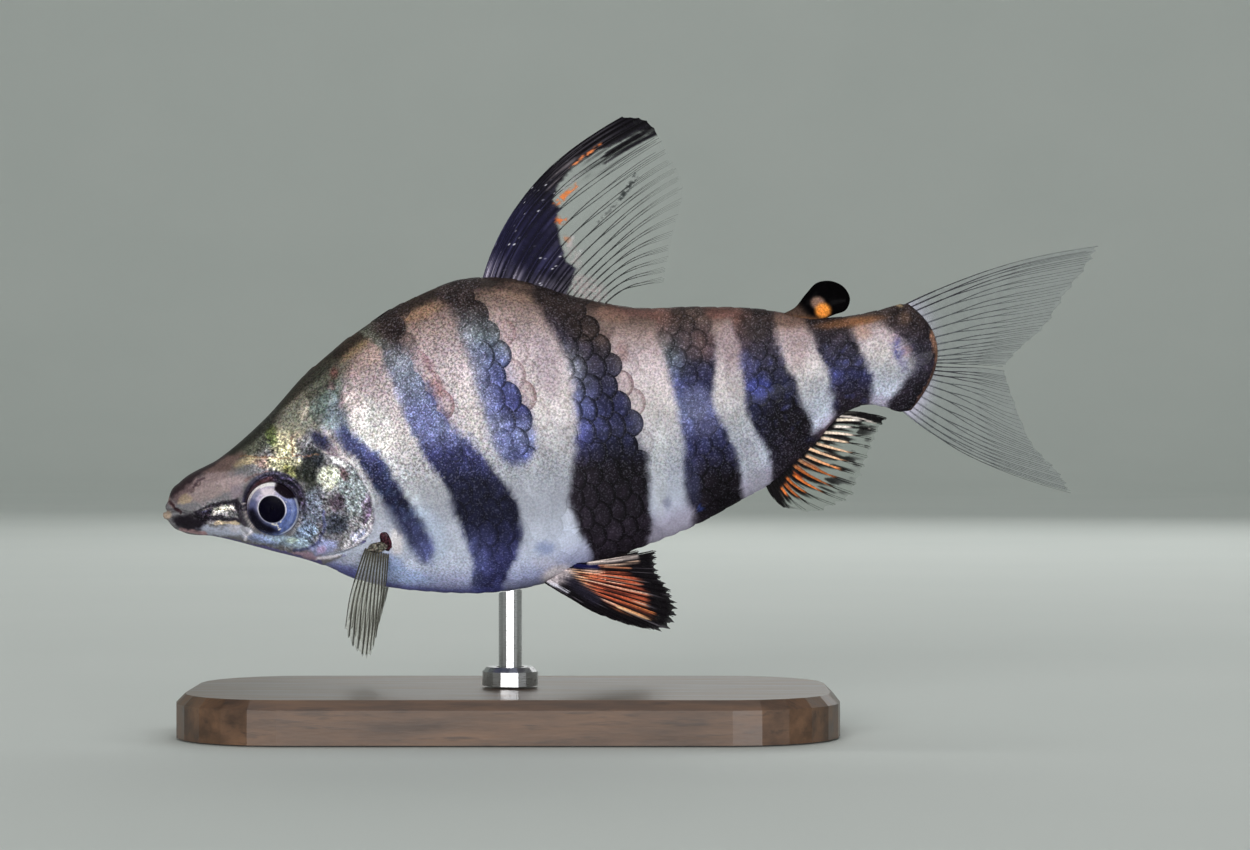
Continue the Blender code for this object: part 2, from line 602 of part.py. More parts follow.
def fin_solid(name, guides, form, finish):
    """A rayed fin: the rays are ridges raised on the membrane, and their tips stand out of its edge."""
    shares, crests = ray_columns(form["rays"])
    rays = interpolate_guides(guides, shares)
    middle = np.zeros((form["rows"], len(shares), 3))
    half = np.zeros((form["rows"], len(shares)))
    for column, (root, bend, tip) in enumerate(rays):
        reach = 1.0 if crests[column] else 1.0 - form["notch"]
        for row in range(form["rows"]):
            t = row / (form["rows"] - 1)
            middle[row, column] = ray_point(root, bend, tip, t * reach)
            thick = form["ray"] if crests[column] else form["membrane"]
            thin = 1 - TIP_THINNING * t**2 * (1.0 if crests[column] else 0.5)
            half[row, column] = thick * thin
    return thin_solid(name, middle, half, finish)


def adipose_solid(name):
    """The small fleshy fin without rays, thick in its middle and thin at its rim."""
    def surface_at(s, h, share):
        half = ADIPOSE_RIM + (ADIPOSE_HALF_THICKNESS - ADIPOSE_RIM) * math.sqrt(1 - share**2)
        return half, -half

    return fan_solid(name, around(ADIPOSE_OUTLINE, 24), ADIPOSE_CENTRE, ADIPOSE_RINGS, surface_at)


def placed_guides(guides, side, swing=(0.0, 0.0, 0.0)):
    """Guides of a paired fin for one side, with its bends and tips swung by shares of their reach."""
    start = np.array(guides[0][0])
    placed = []
    for guide in guides:
        root = np.array(guide[0])
        points = [root]
        for point in guide[1:]:
            reach = math.dist(point, start)
            points.append(np.array(point) + np.array(swing) * reach)
        placed.append([(s, h, side * y) for s, h, y in points])
    return placed


def cut_at_skin(obj, finish):
    """Cuts away what lies inside the body or within the gap around it."""
    apply_boolean(obj, "DIFFERENCE", [body_object("clearance", GAP)])
    set_finish(obj, finish)
    return obj


def build_head():
    head = body_object("head")
    apply_boolean(head, "INTERSECT", [side_prism("head_region", head_outline())])
    apply_boolean(head, "DIFFERENCE", [side_prism("jaw_gap", grown_outline(JAW_OUTLINE, GAP))])
    apply_boolean(head, "UNION", [lip(*UPPER_LIP), *[eye_rim(side) for side in (-1, 1)]])
    sockets = [eye_ball("socket", side, GAP) for side in (-1, 1)]
    recesses = [gill_cover("recess", side, GAP, rise=RECESS_RISE, depth=COVER_DEPTH + GAP) for side in (-1, 1)]
    pits = []
    for s, h, radius in NOSTRILS:
        for side in (-1, 1):
            centre = (s, h, side * float(flank(s, h)))
            pits.append(ellipsoid("pit", centre, (radius,) * 3, skin_frame(s, h, side), 8, 6))
    apply_boolean(head, "DIFFERENCE", sockets + recesses + pits)
    set_finish(head, "head_skin")


def build_lower_jaw():
    jaw = body_object("lower_jaw")
    apply_boolean(jaw, "INTERSECT", [side_prism("jaw_region", JAW_OUTLINE)])
    apply_boolean(jaw, "UNION", [lip(*LOWER_LIP)])
    set_finish(jaw, "barred_skin")


def build_trunk_and_stalk():
    trunk = body_object("trunk")
    ahead = side_prism("ahead", grown_outline(head_outline(), GAP))
    apply_boolean(trunk, "DIFFERENCE", [ahead, side_prism("behind", stalk_outline(STALK_FROM - GAP))])
    set_finish(trunk, "silver_skin")
    stalk = body_object("tail_stalk")
    apply_boolean(stalk, "INTERSECT", [side_prism("stalk_region", stalk_outline(STALK_FROM))])
    set_finish(stalk, "barred_skin")


def build_eyes_and_gill_covers():
    for side, word in ((-1, "left"), (1, "right")):
        set_finish(eye_ball(f"eye_{word}", side), "eye")
        set_finish(gill_cover(f"gill_cover_{word}", side), "gill_cover")


def build_middle_fins():
    cut_at_skin(fin_solid("dorsal_fin", DORSAL_GUIDES, FIN_FORMS["dorsal_fin"], "dark_fin"), "dark_fin")
    cut_at_skin(adipose_solid("adipose_fin"), "dark_fin")
    cut_at_skin(fin_solid("anal_fin", ANAL_GUIDES, FIN_FORMS["anal_fin"], "orange_fin"), "orange_fin")
    for name, guides in (("tail_fin_upper", TAIL_UPPER_GUIDES), ("tail_fin_lower", TAIL_LOWER_GUIDES)):
        cut_at_skin(fin_solid(name, guides, FIN_FORMS[name], "clear_fin"), "clear_fin")


def build_paired_fins():
    for side, word in ((-1, "left"), (1, "right")):
        guides = placed_guides(PECTORAL_GUIDES, side, RIGHT_PECTORAL_SWING if side > 0 else (0, 0, 0))
        pectoral = fin_solid(f"pectoral_fin_{word}", guides, FIN_FORMS["pectoral_fin"], "clear_fin")
        s, h, y = PECTORAL_LOBE
        axes = skin_frame(s, h, side)
        lobe = ellipsoid("lobe", (s, h, side * y), PECTORAL_LOBE_RADII, axes, 12, 8)
        apply_boolean(pectoral, "UNION", [lobe])
        cut_at_skin(pectoral, "clear_fin")
        guides = placed_guides(PELVIC_GUIDES, side, RIGHT_PELVIC_SWING if side > 0 else (0, 0, 0))
        pelvic = fin_solid(f"pelvic_fin_{word}", guides, FIN_FORMS["pelvic_fin"], "orange_fin")
        cut_at_skin(pelvic, "orange_fin")


def rounded_plate(name, length, width, height, corner, edge):
    """A plate on the floor with round corners and a chamfered upper edge."""
    def ring(inset, z):
        points = []
        for centre_x, centre_y, start in ((1, 1, 0), (-1, 1, 90), (-1, -1, 180), (1, -1, 270)):
            for turn in np.radians(np.linspace(start, start + 90, 7)):
                x = centre_x * (length / 2 - corner) + (corner - inset) * math.cos(turn)
                y = centre_y * (width / 2 - corner) + (corner - inset) * math.sin(turn)
                points.append((x * MM, y * MM, z * MM))
        return points

    rings = [ring(0, 0), ring(0, height - edge), ring(edge, height)]
    count = len(rings[0])
    faces = grid_faces(3, count, closed=True) + [tuple(range(count)), tuple(range(2 * count, 3 * count))]
    return make_object(name, [p for points in rings for p in points], faces, "wood")


def turned(name, profile, finish, sides=ROD_SIDES):
    """A solid turned about the stand's axis, from an outline of (radius, height) points."""
    points = [
        (r * math.cos(turn) * MM, r * math.sin(turn) * MM, z * MM)
        for r, z in profile
        for turn in 2 * math.pi * np.arange(sides) / sides
    ]
    rows = len(profile)
    faces = grid_faces(rows, sides, closed=True)
    hollow = profile[0] == profile[-1]
    if hollow:
        points = points[: (rows - 1) * sides]
        faces = [tuple(i % ((rows - 1) * sides) for i in face) for face in faces]
    else:
        faces += [tuple(range(sides)), tuple(range((rows - 1) * sides, rows * sides))]
    return make_object(name, points, faces, finish)


def build_stand():
    rounded_plate("stand_base", BASE_LENGTH, BASE_WIDTH, BASE_HEIGHT, BASE_CORNER, BASE_EDGE)
    foot = BASE_HEIGHT + GAP
    belly_height = SNOUT_HEIGHT  # well inside the body, where the cut at the skin ends the rod
    rod = turned("stand_rod", [(ROD_RADIUS, foot), (ROD_RADIUS, belly_height)], "steel")
    cut_at_skin(rod, "steel")
    inner = ROD_RADIUS + GAP
    top = foot + COLLAR_HEIGHT
    profile = [
        (inner, foot), (COLLAR_RADIUS, foot),
        (COLLAR_RADIUS, top - COLLAR_CHAMFER), (COLLAR_RADIUS - COLLAR_CHAMFER, top),
        (inner, top), (inner, foot),
    ]
    turned("stand_collar", profile, "steel")


def main():
    for obj in list(bpy.data.objects):
        bpy.data.objects.remove(obj)
    build_head()
    build_lower_jaw()
    build_trunk_and_stalk()
    build_eyes_and_gill_covers()
    build_middle_fins()
    build_paired_fins()
    build_stand()


main()
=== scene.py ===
"""Looks of the marbled headstander model: one painted skin, a coat of scales, rayed fins and glossy eyes.

Sizes are in millimetres in the fish's own frame, as in the CAD source: s runs back from the snout, h is up
from the body axis and y is sideways, with the left side at minus y. Markings are placed by positions in
the 1250 x 850 photo, which photo_place() works out for any point of the fish, so that they stay on the
skin from every side. The right side carries the left side's markings.
"""

import math

import bpy
import numpy as np
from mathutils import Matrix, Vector


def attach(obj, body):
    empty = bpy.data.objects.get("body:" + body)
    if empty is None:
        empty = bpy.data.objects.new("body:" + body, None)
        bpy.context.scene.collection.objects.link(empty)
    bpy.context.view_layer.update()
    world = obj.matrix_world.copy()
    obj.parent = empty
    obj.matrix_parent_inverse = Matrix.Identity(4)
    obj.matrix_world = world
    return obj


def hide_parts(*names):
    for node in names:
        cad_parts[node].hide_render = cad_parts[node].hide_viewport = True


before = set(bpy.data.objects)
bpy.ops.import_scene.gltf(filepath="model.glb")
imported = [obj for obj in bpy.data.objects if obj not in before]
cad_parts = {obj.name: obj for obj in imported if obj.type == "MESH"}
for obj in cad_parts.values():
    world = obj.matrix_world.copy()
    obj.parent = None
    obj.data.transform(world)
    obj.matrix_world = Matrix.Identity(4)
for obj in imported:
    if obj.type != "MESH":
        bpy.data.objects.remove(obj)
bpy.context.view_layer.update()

MM = 0.001
SEED = 20

# The same pose and body as in the CAD source
PITCH = math.radians(11.7)
SNOUT_HEIGHT = 28.1
SNOUT_AHEAD = 44.5
BACK_LINE = [
    (0, -0.1), (0.4, 0.4), (0.8, 1.5), (1.3, 2.4), (2.7, 3.4), (8.4, 5.4), (15, 9.1), (22, 14.2),
    (28.4, 17.6), (35, 20.1), (43.5, 21.6), (49.5, 20.5), (57.5, 16.4), (64, 13.7), (73, 11.9), (80, 10.2),
    (87, 7.6), (91.5, 6.85), (98.6, 7.1),
]
BELLY_LINE = [
    (0, -0.7), (0.6, -2.0), (1.7, -2.95), (5.5, -4.3), (12.3, -7.6), (18, -10.5), (21.6, -13.0),
    (25.5, -15.1), (32, -17.2), (39, -18.7), (44, -19.0), (49.5, -18.5), (59, -17.0), (66, -15.7),
    (73.5, -13.4), (77, -12.3), (83, -8.9), (88.5, -5.2), (91.5, -4.8), (96, -6.5), (98.6, -7.0),
]
HALF_WIDTHS = [
    (0, 0.9), (0.6, 1.75), (1.4, 2.3), (2.7, 2.85), (5.5, 3.6), (9, 4.45), (13, 5.3), (18, 6.4),
    (24, 7.4), (32, 8.0), (42, 8.0), (52, 7.3), (62, 6.0), (72, 4.6), (82, 3.3), (91.5, 2.3),
    (95, 1.9), (98.6, 0.9),
]
BACK_POWERS = [(0, 2.1), (12, 2.2), (22, 1.95), (35, 1.75), (60, 1.8), (98.6, 2.0)]
BELLY_POWERS = [(0, 2.1), (12, 2.15), (25, 2.1), (42, 2.15), (56, 1.75), (75, 1.6), (90, 1.9), (98.6, 2.0)]
WIDEST_SHARE = 0.48
TAIL_END = 97.4
TAIL_ARC = (3.8, 1.2, -3.8)
TAIL_ARC_FROM = 90.0
TAIL_ARC_EASE = 1.5
NAPE_CURVE = [(20.4, 18), (20.9, 13), (21.5, 7.5), (22.3, 3.2)]
COVER_REAR = [
    (22.3, 3.2), (24.7, 1.8), (26.2, -0.9), (26.95, -4.1), (26.65, -6.7), (25.3, -8.4), (23.1, -9.3),
    (20.6, -9.75), (18.7, -9.6),
]
THROAT_CURVE = [(18.7, -9.6), (17.6, -11.0), (17.2, -15)]
COVER_FRONT = [(18.7, -9.6), (17.9, -8.0), (18.6, -5.2), (19.5, -2.0), (20.4, 1.2), (22.3, 3.2)]
COVER_RISE = 0.45
COVER_FREED_OVER = 5.0
JAW_LINE = [(0.25, -0.05), (1.9, -0.06), (3.5, -0.85), (4.4, -1.9)]
EYE_CENTRE = (13.97, -2.55)
EYE_RADIUS = 3.6
EYE_HALF_DEPTH = 2.2
EYE_BULGE = 0.75
NOSTRILS = [(4.3, 2.1, 0.36), (5.2, 2.8, 0.42)]
UPPER_LIP = (0.64, 0.42)  # height and thickness
LOWER_LIP = (-0.5, 0.45)
MOUTH_CORNER = 2.4

DORSAL_GUIDES = [
    ((45.7, 20.2, 0), (51.6, 33.0, 0), (67.8, 38.1, 0.5)),
    ((47.2, 19.8, 0), (53.4, 32.2, 0), (71.3, 36.6, 0.5)),
    ((51.6, 18.2, 0), (58.4, 27.1, 0), (73.2, 31.3, 0.6)),
    ((55.2, 16.6, 0), (62.0, 23.0, 0), (73.9, 27.2, 0.6)),
    ((57.7, 15.4, 0), (63.5, 20.2, 0), (71.0, 20.9, 0.4)),
    ((60.2, 14.0, 0), (63.9, 17.0, 0), (69.0, 15.9, 0.2)),
]
ANAL_GUIDES = [
    ((76.5, -12.3, 0), (76.7, -14.2, 0), (78.1, -15.6, 0)),
    ((77.6, -11.9, 0), (78.1, -14.5, 0), (79.2, -16.1, 0.1)),
    ((78.3, -11.5, 0), (78.9, -14.4, 0), (82.4, -17.1, 0.2)),
    ((79.0, -11.1, 0), (79.8, -13.8, 0), (84.8, -16.7, 0.3)),
    ((79.9, -10.5, 0), (81.3, -13.0, 0), (86.9, -16.3, 0.4)),
    ((80.9, -9.8, 0), (82.8, -12.0, 0), (88.0, -14.9, 0.4)),
    ((82.0, -9.1, 0), (84.3, -11.0, 0), (89.1, -13.4, 0.4)),
    ((83.2, -8.3, 0), (86.1, -10.1, 0), (90.0, -11.9, 0.3)),
    ((84.2, -7.6, 0), (87.7, -8.8, 0), (90.9, -10.4, 0.3)),
    ((85.4, -6.9, 0), (88.7, -7.6, 0), (91.8, -9.0, 0.3)),
    ((86.7, -6.0, 0), (89.9, -6.5, 0), (92.8, -7.8, 0.2)),
    ((87.9, -5.0, 0), (90.8, -5.2, 0), (93.7, -7.0, 0.2)),
]
TAIL_UPPER_GUIDES = [
    ((96.5, 6.3, 0), (109.6, 10.4, 0.2), (125.2, 9.4, 1.2)),
    ((97.4, 5.1, 0), (110.4, 8.4, 0.2), (123.9, 7.7, 1.1)),
    ((98.3, 3.2, 0), (110.0, 5.0, 0.2), (119.8, 4.1, 0.9)),
    ((98.9, 1.2, 0), (108.4, 1.6, 0.1), (116.0, 0.4, 0.7)),
    ((99.0, -0.3, 0), (106.6, -0.9, 0.1), (112.4, -1.6, 0.5)),
    ((99.0, -1.0, 0), (105.6, -2.3, 0.1), (109.7, -3.6, 0.4)),
]
TAIL_LOWER_GUIDES = [
    ((98.9, -1.2, 0), (105.4, -2.55, 0.1), (109.7, -3.8, 0.4)),
    ((98.6, -2.2, 0), (105.4, -4.9, 0.1), (110.0, -7.0, 0.5)),
    ((97.8, -3.6, 0), (104.7, -8.6, 0.2), (111.3, -13.9, 0.8)),
    ((96.4, -5.1, 0), (102.9, -12.6, 0.2), (114.0, -18.2, 1.1)),
    ((95.2, -6.0, 0), (101.6, -14.8, 0.2), (115.3, -21.5, 1.2)),
]
PECTORAL_GUIDES = [
    ((25.0, -9.4, 5.6), (22.4, -13.2, 8.2), (20.4, -18.8, 9.4)),
    ((25.4, -9.6, 5.6), (22.7, -15.0, 8.5), (20.9, -21.2, 9.8)),
    ((25.9, -9.9, 5.6), (23.6, -16.2, 8.5), (21.9, -23.0, 9.8)),
    ((26.5, -10.2, 5.6), (24.7, -16.2, 8.4), (23.0, -23.1, 9.6)),
    ((27.1, -10.5, 5.6), (26.0, -15.3, 8.2), (24.2, -20.8, 9.2)),
    ((27.6, -10.8, 5.6), (26.9, -14.2, 8.0), (25.7, -17.2, 8.8)),
]
PECTORAL_LOBES = {  # place, radii and tone
    "base": ((27.6, -9.3, 6.1), (0.85, 1.5, 0.6), (44, 22, 28)),
    "root": ((26.4, -9.9, 6.15), (1.35, 0.7, 0.55), (84, 80, 72)),
}
PELVIC_GUIDES = [
    ((46.2, -18.8, 1.9), (48.5, -21.0, 4.0), (51.0, -22.9, 6.0)),
    ((46.6, -18.6, 1.9), (50.1, -21.9, 4.6), (54.1, -25.0, 7.2)),
    ((47.2, -18.4, 2.0), (52.8, -22.7, 5.2), (60.0, -27.7, 8.2)),
    ((47.7, -18.2, 2.0), (54.6, -21.7, 5.6), (62.2, -25.6, 8.6)),
    ((48.6, -17.9, 2.1), (55.0, -20.1, 5.8), (61.9, -22.9, 8.6)),
    ((49.6, -17.5, 2.1), (55.1, -18.7, 5.9), (60.8, -19.9, 8.4)),
    ((50.6, -17.2, 2.2), (55.5, -17.5, 5.8), (61.2, -17.3, 8.0)),
]
RIGHT_PECTORAL_SWING = (-0.09, 0.02, -0.02)
RIGHT_PELVIC_SWING = (-0.14, -0.02, 0.30)
ADIPOSE_OUTLINE = [
    (82.6, 8.5), (84.9, 9.4), (86.6, 10.8), (88.3, 11.9), (90.2, 11.7), (91.7, 10.4), (92.0, 8.9),
    (91.2, 7.7), (89.6, 7.4), (88.2, 7.1), (86.5, 6.6), (84.0, 7.2),
]
ADIPOSE_CENTRE = (87.8, 9.2)
ADIPOSE_HALF_THICKNESS = 0.85
ADIPOSE_RIM = 0.25

# The camera of the photo: its place, its lens and the scale in the fish's middle plane
CAMERA_PLACE = (14.78, -447.45, 39.31)
LENS = 100.0
SENSOR = 36.0
PHOTO_CENTRE = (625.0, 425.0)
PIXEL = 0.128866  # millimetres in the middle plane

# Skin and scales
SKIN_STEPS_HEAD = 230
SKIN_STEPS_BODY = 270
SKIN_HEAD_END = 29.0
SKIN_AROUND = 400
SNOUT_STEPS = [0, 0.02, 0.06, 0.12, 0.2, 0.3, 0.42, 0.55]
RELIEF_END = 31  # no folds behind this station
SKIN_EVENING = 0.18  # moves the skin's columns from the keels to the flanks
SNOUT_RINGS = [(-0.1, 0.1), (-0.09, 0.4), (-0.05, 0.75)]  # that close the skin: shift and share
TAIL_RINGS = [(0.25, 0.8), (0.45, 0.45), (0.52, 0.08)]
COAT_DEPTH = 0.14  # the skin lies this far inside under the scales
SCALE_STEP = 2.1  # along a row
SCALE_LENGTH = 3.7  # where the rows are furthest apart
SCALE_HALF_WIDTH = 0.70  # as a share of the row's height
SCALE_ALONG = np.array([0, 0.18, 0.36, 0.54, 0.70, 0.83, 0.93, 1.0])
SCALE_COLUMNS = 9
SCALE_ROWS = 17  # each way from the lateral line, as far as they fit
SCALES_IN_ROW = 60  # at most
FIRST_SCALE = 15.0
UNDER_HEAD = 1.5  # how far the first scales reach under the head's edge
ROOM_AT_TAIL = 1.4
ROOM_AT_KEEL = 0.15  # as a share of the row's height
TONE_PLACE = 0.66  # where along a scale its own tone is taken
ROW_STEPS = [(20, 2.4), (32, 2.8), (50, 2.8), (62, 2.5), (75, 2.0), (90, 1.5), (98, 1.35)]
WIDEST_ROW = 2.8
LATERAL_LINE = [(20, 3.2), (28, 2.0), (40, 0.4), (55, -0.8), (75, -0.9), (98, -0.3)]
SCALE_LIFT = (-0.10, 0.015)  # of the root and of the rear edge
SCALE_THICKNESS = 0.025
SCALE_DOME = 0.02
SCALE_JITTER = 0.03  # shares of the length, the width and the tone
LIFT_JITTER = 0.012
ROOT_JITTER = 0.05
PATCH = 0.003  # size of a scale's patch on the bake's map
MAP_LENGTH = 110.0  # length of the fish that fills the map
MAP_START = 1.5  # room before the snout
LID_MAP_RADIUS = 0.004
LID_MAP_PLACES = ((0.996, 0.01), (0.996, 0.03))

# Eyes and fins
EYE_TURNS = 96
CORNEA_RADIUS = 3.5
CORNEA_GAP = 0.03
CORNEA_THICKNESS = 0.08
RAY_SIDES = 5
RAY_INSET = 0.24  # from the fin's edge to its first ray, as a share of the rays' spacing
FORK_OVERLAP = 0.015
WEB_STEPS = 8  # from ray to ray
WEB_ROWS = 44
WEB_HALF_THICKNESS = 0.03
WEB_RIPPLE = 0.06


def smooth_line(points):
    """A smooth curve through (along, value) points, as a function of a number or an array."""
    xs, ys = np.array(points, float).T
    steps = np.diff(xs)
    slopes = np.diff(ys) / steps
    inner = (slopes[:-1] * steps[1:] + slopes[1:] * steps[:-1]) / (steps[:-1] + steps[1:])
    tangents = np.concatenate([slopes[:1], inner, slopes[-1:]])

    def value(x):
        x = np.clip(x, xs[0], xs[-1])
        i = np.clip(np.searchsorted(xs, x, side="right") - 1, 0, len(steps) - 1)
        t = (x - xs[i]) / steps[i]
        start = ys[i] * (1 + 2 * t) * (1 - t) ** 2 + tangents[i] * steps[i] * t * (1 - t) ** 2
        end = ys[i + 1] * t * t * (3 - 2 * t) - tangents[i + 1] * steps[i] * t * t * (1 - t)
        return start + end

    return value


back = smooth_line(BACK_LINE)
belly = smooth_line(BELLY_LINE)
half_width = smooth_line(HALF_WIDTHS)
back_power = smooth_line(BACK_POWERS)
belly_power = smooth_line(BELLY_POWERS)
row_step = smooth_line(ROW_STEPS)
lateral_line = smooth_line(LATERAL_LINE)


def to_world(points):
    """Points of the fish's frame, as rows of (s, h, y) in millimetres, in world metres."""
    s, h, y = np.asarray(points, float).reshape(-1, 3).T
    x = s * math.cos(PITCH) - h * math.sin(PITCH) - SNOUT_AHEAD
    z = s * math.sin(PITCH) + h * math.cos(PITCH) + SNOUT_HEIGHT
    return np.stack([x, y, z], axis=1) * MM


def flank(s, h):
    """Half the body's width at the place (s, h) seen from the side, or 0 outside the outline."""
    top, bottom = back(s), belly(s)
    middle = bottom + WIDEST_SHARE * (top - bottom)
    above = h >= middle
    share = np.where(above, (h - middle) / (top - middle), (middle - h) / (middle - bottom))
    power = np.where(above, back_power(s), belly_power(s))
    return half_width(s) * np.clip(1 - np.clip(share, 0, 1) ** power, 0, 1) ** (1 / power)


def photo_place(s, h, out):
    """Where the photo shows points at (s, h) that stand out from the middle plane towards the camera."""
    x = s * math.cos(PITCH) - h * math.sin(PITCH) - SNOUT_AHEAD
    z = s * math.sin(PITCH) + h * math.cos(PITCH) + SNOUT_HEIGHT
    near = -CAMERA_PLACE[1] / (-CAMERA_PLACE[1] - out) / PIXEL
    return PHOTO_CENTRE[0] + (x - CAMERA_PLACE[0]) * near, PHOTO_CENTRE[1] - (z - CAMERA_PLACE[2]) * near


def smoothstep(low, high, x):
    """Rises smoothly from 0 to 1 between two values."""
    t = np.clip((x - low) / (high - low), 0, 1)
    return t * t * (3 - 2 * t)


def fall(low, high, x):
    """Sinks smoothly from 1 to 0 between two values."""
    return 1 - smoothstep(low, high, x)


def unit(vectors):
    return vectors / np.maximum(np.linalg.norm(vectors, axis=-1, keepdims=True), 1e-12)


def noise(x, y, size, pattern):
    """Smooth random values from -1 to 1 over a plane, with spots of a size. Each pattern number differs."""
    table = np.random.default_rng(SEED + pattern).uniform(-1, 1, (256, 256))
    gx, gy = np.asarray(x) / size, np.asarray(y) / size
    ix, iy = np.floor(gx).astype(int), np.floor(gy).astype(int)
    fx, fy = gx - ix, gy - iy
    fx, fy = fx * fx * (3 - 2 * fx), fy * fy * (3 - 2 * fy)
    corner = [[table[(ix + a) % 256, (iy + b) % 256] for b in (0, 1)] for a in (0, 1)]
    low = corner[0][0] * (1 - fx) + corner[1][0] * fx
    high = corner[0][1] * (1 - fx) + corner[1][1] * fx
    return low * (1 - fy) + high * fy


def path_distance(x, y, path):
    """Distance from points to an open path."""
    path = np.array(path, float)
    best = np.full(np.shape(x), np.inf)
    for (ax, ay), (bx, by) in zip(path[:-1], path[1:]):
        dx, dy = bx - ax, by - ay
        t = np.clip(((x - ax) * dx + (y - ay) * dy) / (dx * dx + dy * dy + 1e-12), 0, 1)
        best = np.minimum(best, np.hypot(x - ax - t * dx, y - ay - t * dy))
    return best


def inside(x, y, outline):
    """Signed distance to a closed outline, positive inside."""
    outline = [*outline, outline[0]]
    crossed = np.zeros(np.shape(x), bool)
    for (ax, ay), (bx, by) in zip(outline[:-1], outline[1:]):
        if ay != by:
            crossed ^= ((ay > y) != (by > y)) & (x < (bx - ax) * (y - ay) / (by - ay) + ax)
    return np.where(crossed, 1, -1) * path_distance(x, y, outline)


# Markings, in photo pixels and 8-bit screen colours

# Named tones of the dark marks
TONES = {
    "ink": (13, 10, 15), "plum": (30, 25, 33), "night": (22, 23, 42), "navy": (32, 33, 60),
    "indigo": (50, 52, 92), "denim": (74, 79, 122), "haze": (104, 110, 146), "mist": (132, 134, 158),
    "slate": (90, 97, 104), "ash": (112, 114, 124), "dusk": (44, 41, 54), "umber": (42, 34, 33),
    "bark": (64, 52, 48), "rust": (92, 66, 60), "moss": (76, 77, 68),
}

# Each bar: front edge, rear edge, softness of both, the highest and lowest places where it starts or ends
# on the flank, and tones as (height, tone near the front edge, tone in the middle and at the rear)
BARS = {
    "A": dict(
        front=[
            (322, 385), (334, 410), (343, 437), (357, 460), (372, 484), (389, 508), (403, 532),
            (418, 560),
        ],
        rear=[
            (330, 368), (338, 404), (357, 437), (383, 458), (396, 484), (412, 506), (426, 530),
            (433, 547), (431, 564),
        ],
        soft=(3, 5), start=396, end=562,
        tones=[
            (385, "moss", "slate"), (418, "slate", "slate"), (438, "indigo", "denim"),
            (462, "navy", "indigo"), (500, "night", "night"), (552, "haze", "denim"),
        ],
    ),
    "B": dict(
        front=[
            (357, 331), (373, 341), (385, 368), (397, 400), (413, 434), (433, 470), (446, 488),
            (459, 521), (467, 543), (473, 566), (472, 580),
        ],
        rear=[
            (401, 318), (406, 341), (420, 366), (435, 403), (452, 425), (470, 440), (489, 464),
            (505, 484), (518, 511), (522, 533), (518, 554), (508, 574), (503, 586),
        ],
        soft=(4, 4),
        tones=[
            (338, "moss", "umber"), (362, "ash", "ash"), (396, "mist", "haze"), (428, "haze", "haze"),
            (452, "indigo", "indigo"), (486, "night", "night"), (520, "night", "night"),
            (556, "denim", "indigo"),
        ],
    ),
    "C": dict(
        front=[
            (438, 296), (452, 311), (461, 341), (471, 366), (478, 394), (485, 415), (489, 435),
            (495, 450), (506, 464),
        ],
        rear=[
            (481, 292), (493, 321), (501, 347), (513, 368), (521, 390), (532, 409), (534, 427),
            (536, 443), (528, 460), (520, 466),
        ],
        soft=(6, 3), end=464,
        tones=[
            (305, "umber", "umber"), (336, "ash", "slate"), (372, "mist", "denim"),
            (408, "haze", "indigo"), (434, "mist", "haze"), (456, "haze", "denim"),
        ],
    ),
    "D": dict(
        front=[
            (532, 296), (550, 327), (561, 347), (570, 370), (575, 402), (577, 431), (574, 458),
            (570, 484), (570, 502), (576, 521), (584, 539), (592, 552),
        ],
        rear=[
            (586, 296), (598, 320), (606, 338), (614, 358), (618, 380), (626, 400), (631, 411),
            (638, 432), (645, 453), (649, 473), (649, 498), (651, 519), (648, 543),
        ],
        soft=(5, 4),
        tones=[
            (305, "umber", "umber"), (338, "dusk", "umber"), (366, "ash", "dusk"), (408, "denim", "navy"),
            (440, "indigo", "night"), (468, "plum", "ink"), (535, "plum", "plum"),
        ],
    ),
    "E": dict(
        front=[
            (652, 305), (656, 330), (663, 350), (670, 375), (674, 391), (678, 417), (682, 439),
            (684, 465), (687, 493), (693, 515),
        ],
        rear=[
            (704, 305), (712, 330), (716, 357), (714, 380), (714, 404), (722, 422), (732, 444),
            (739, 465), (741, 487), (742, 496),
        ],
        soft=(5, 4),
        tones=[
            (318, "rust", "bark"), (356, "slate", "dusk"), (386, "denim", "navy"), (414, "haze", "denim"),
            (446, "indigo", "navy"), (478, "plum", "ink"),
        ],
    ),
    "F": dict(
        front=[
            (731, 305), (735, 330), (740, 350), (743, 375), (747, 404), (753, 426), (763, 444),
            (771, 461), (773, 476), (767, 496),
        ],
        rear=[
            (772, 305), (776, 333), (781, 350), (788, 368), (798, 388), (805, 411), (812, 428),
            (815, 440), (807, 455), (797, 472), (790, 486),
        ],
        soft=(4, 4.5),
        tones=[
            (318, "rust", "umber"), (356, "dusk", "dusk"), (386, "indigo", "night"),
            (416, "night", "ink"), (474, "plum", "plum"),
        ],
    ),
    "G": dict(
        front=[(805, 316), (810, 333), (816, 346), (824, 363), (828, 377), (832, 395), (835, 409)],
        rear=[(846, 316), (852, 331), (859, 346), (867, 363), (872, 382), (869, 404)],
        soft=(4, 4),
        tones=[
            (322, "umber", "umber"), (350, "dusk", "dusk"), (374, "indigo", "navy"),
            (400, "plum", "plum"),
        ],
    ),
    "H": dict(
        front=[
            (866, 312), (884, 326), (902, 340), (913, 356), (911, 374), (897, 391), (888, 402),
            (888, 409),
        ],
        rear=[(921, 303), (935, 322), (948, 342), (954, 360), (951, 380), (940, 397), (925, 413)],
        soft=(6, 3),
        tones=[
            (316, "bark", "umber"), (345, "dusk", "plum"), (368, "dusk", "plum"), (392, "plum", "ink"),
        ],
    ),
}
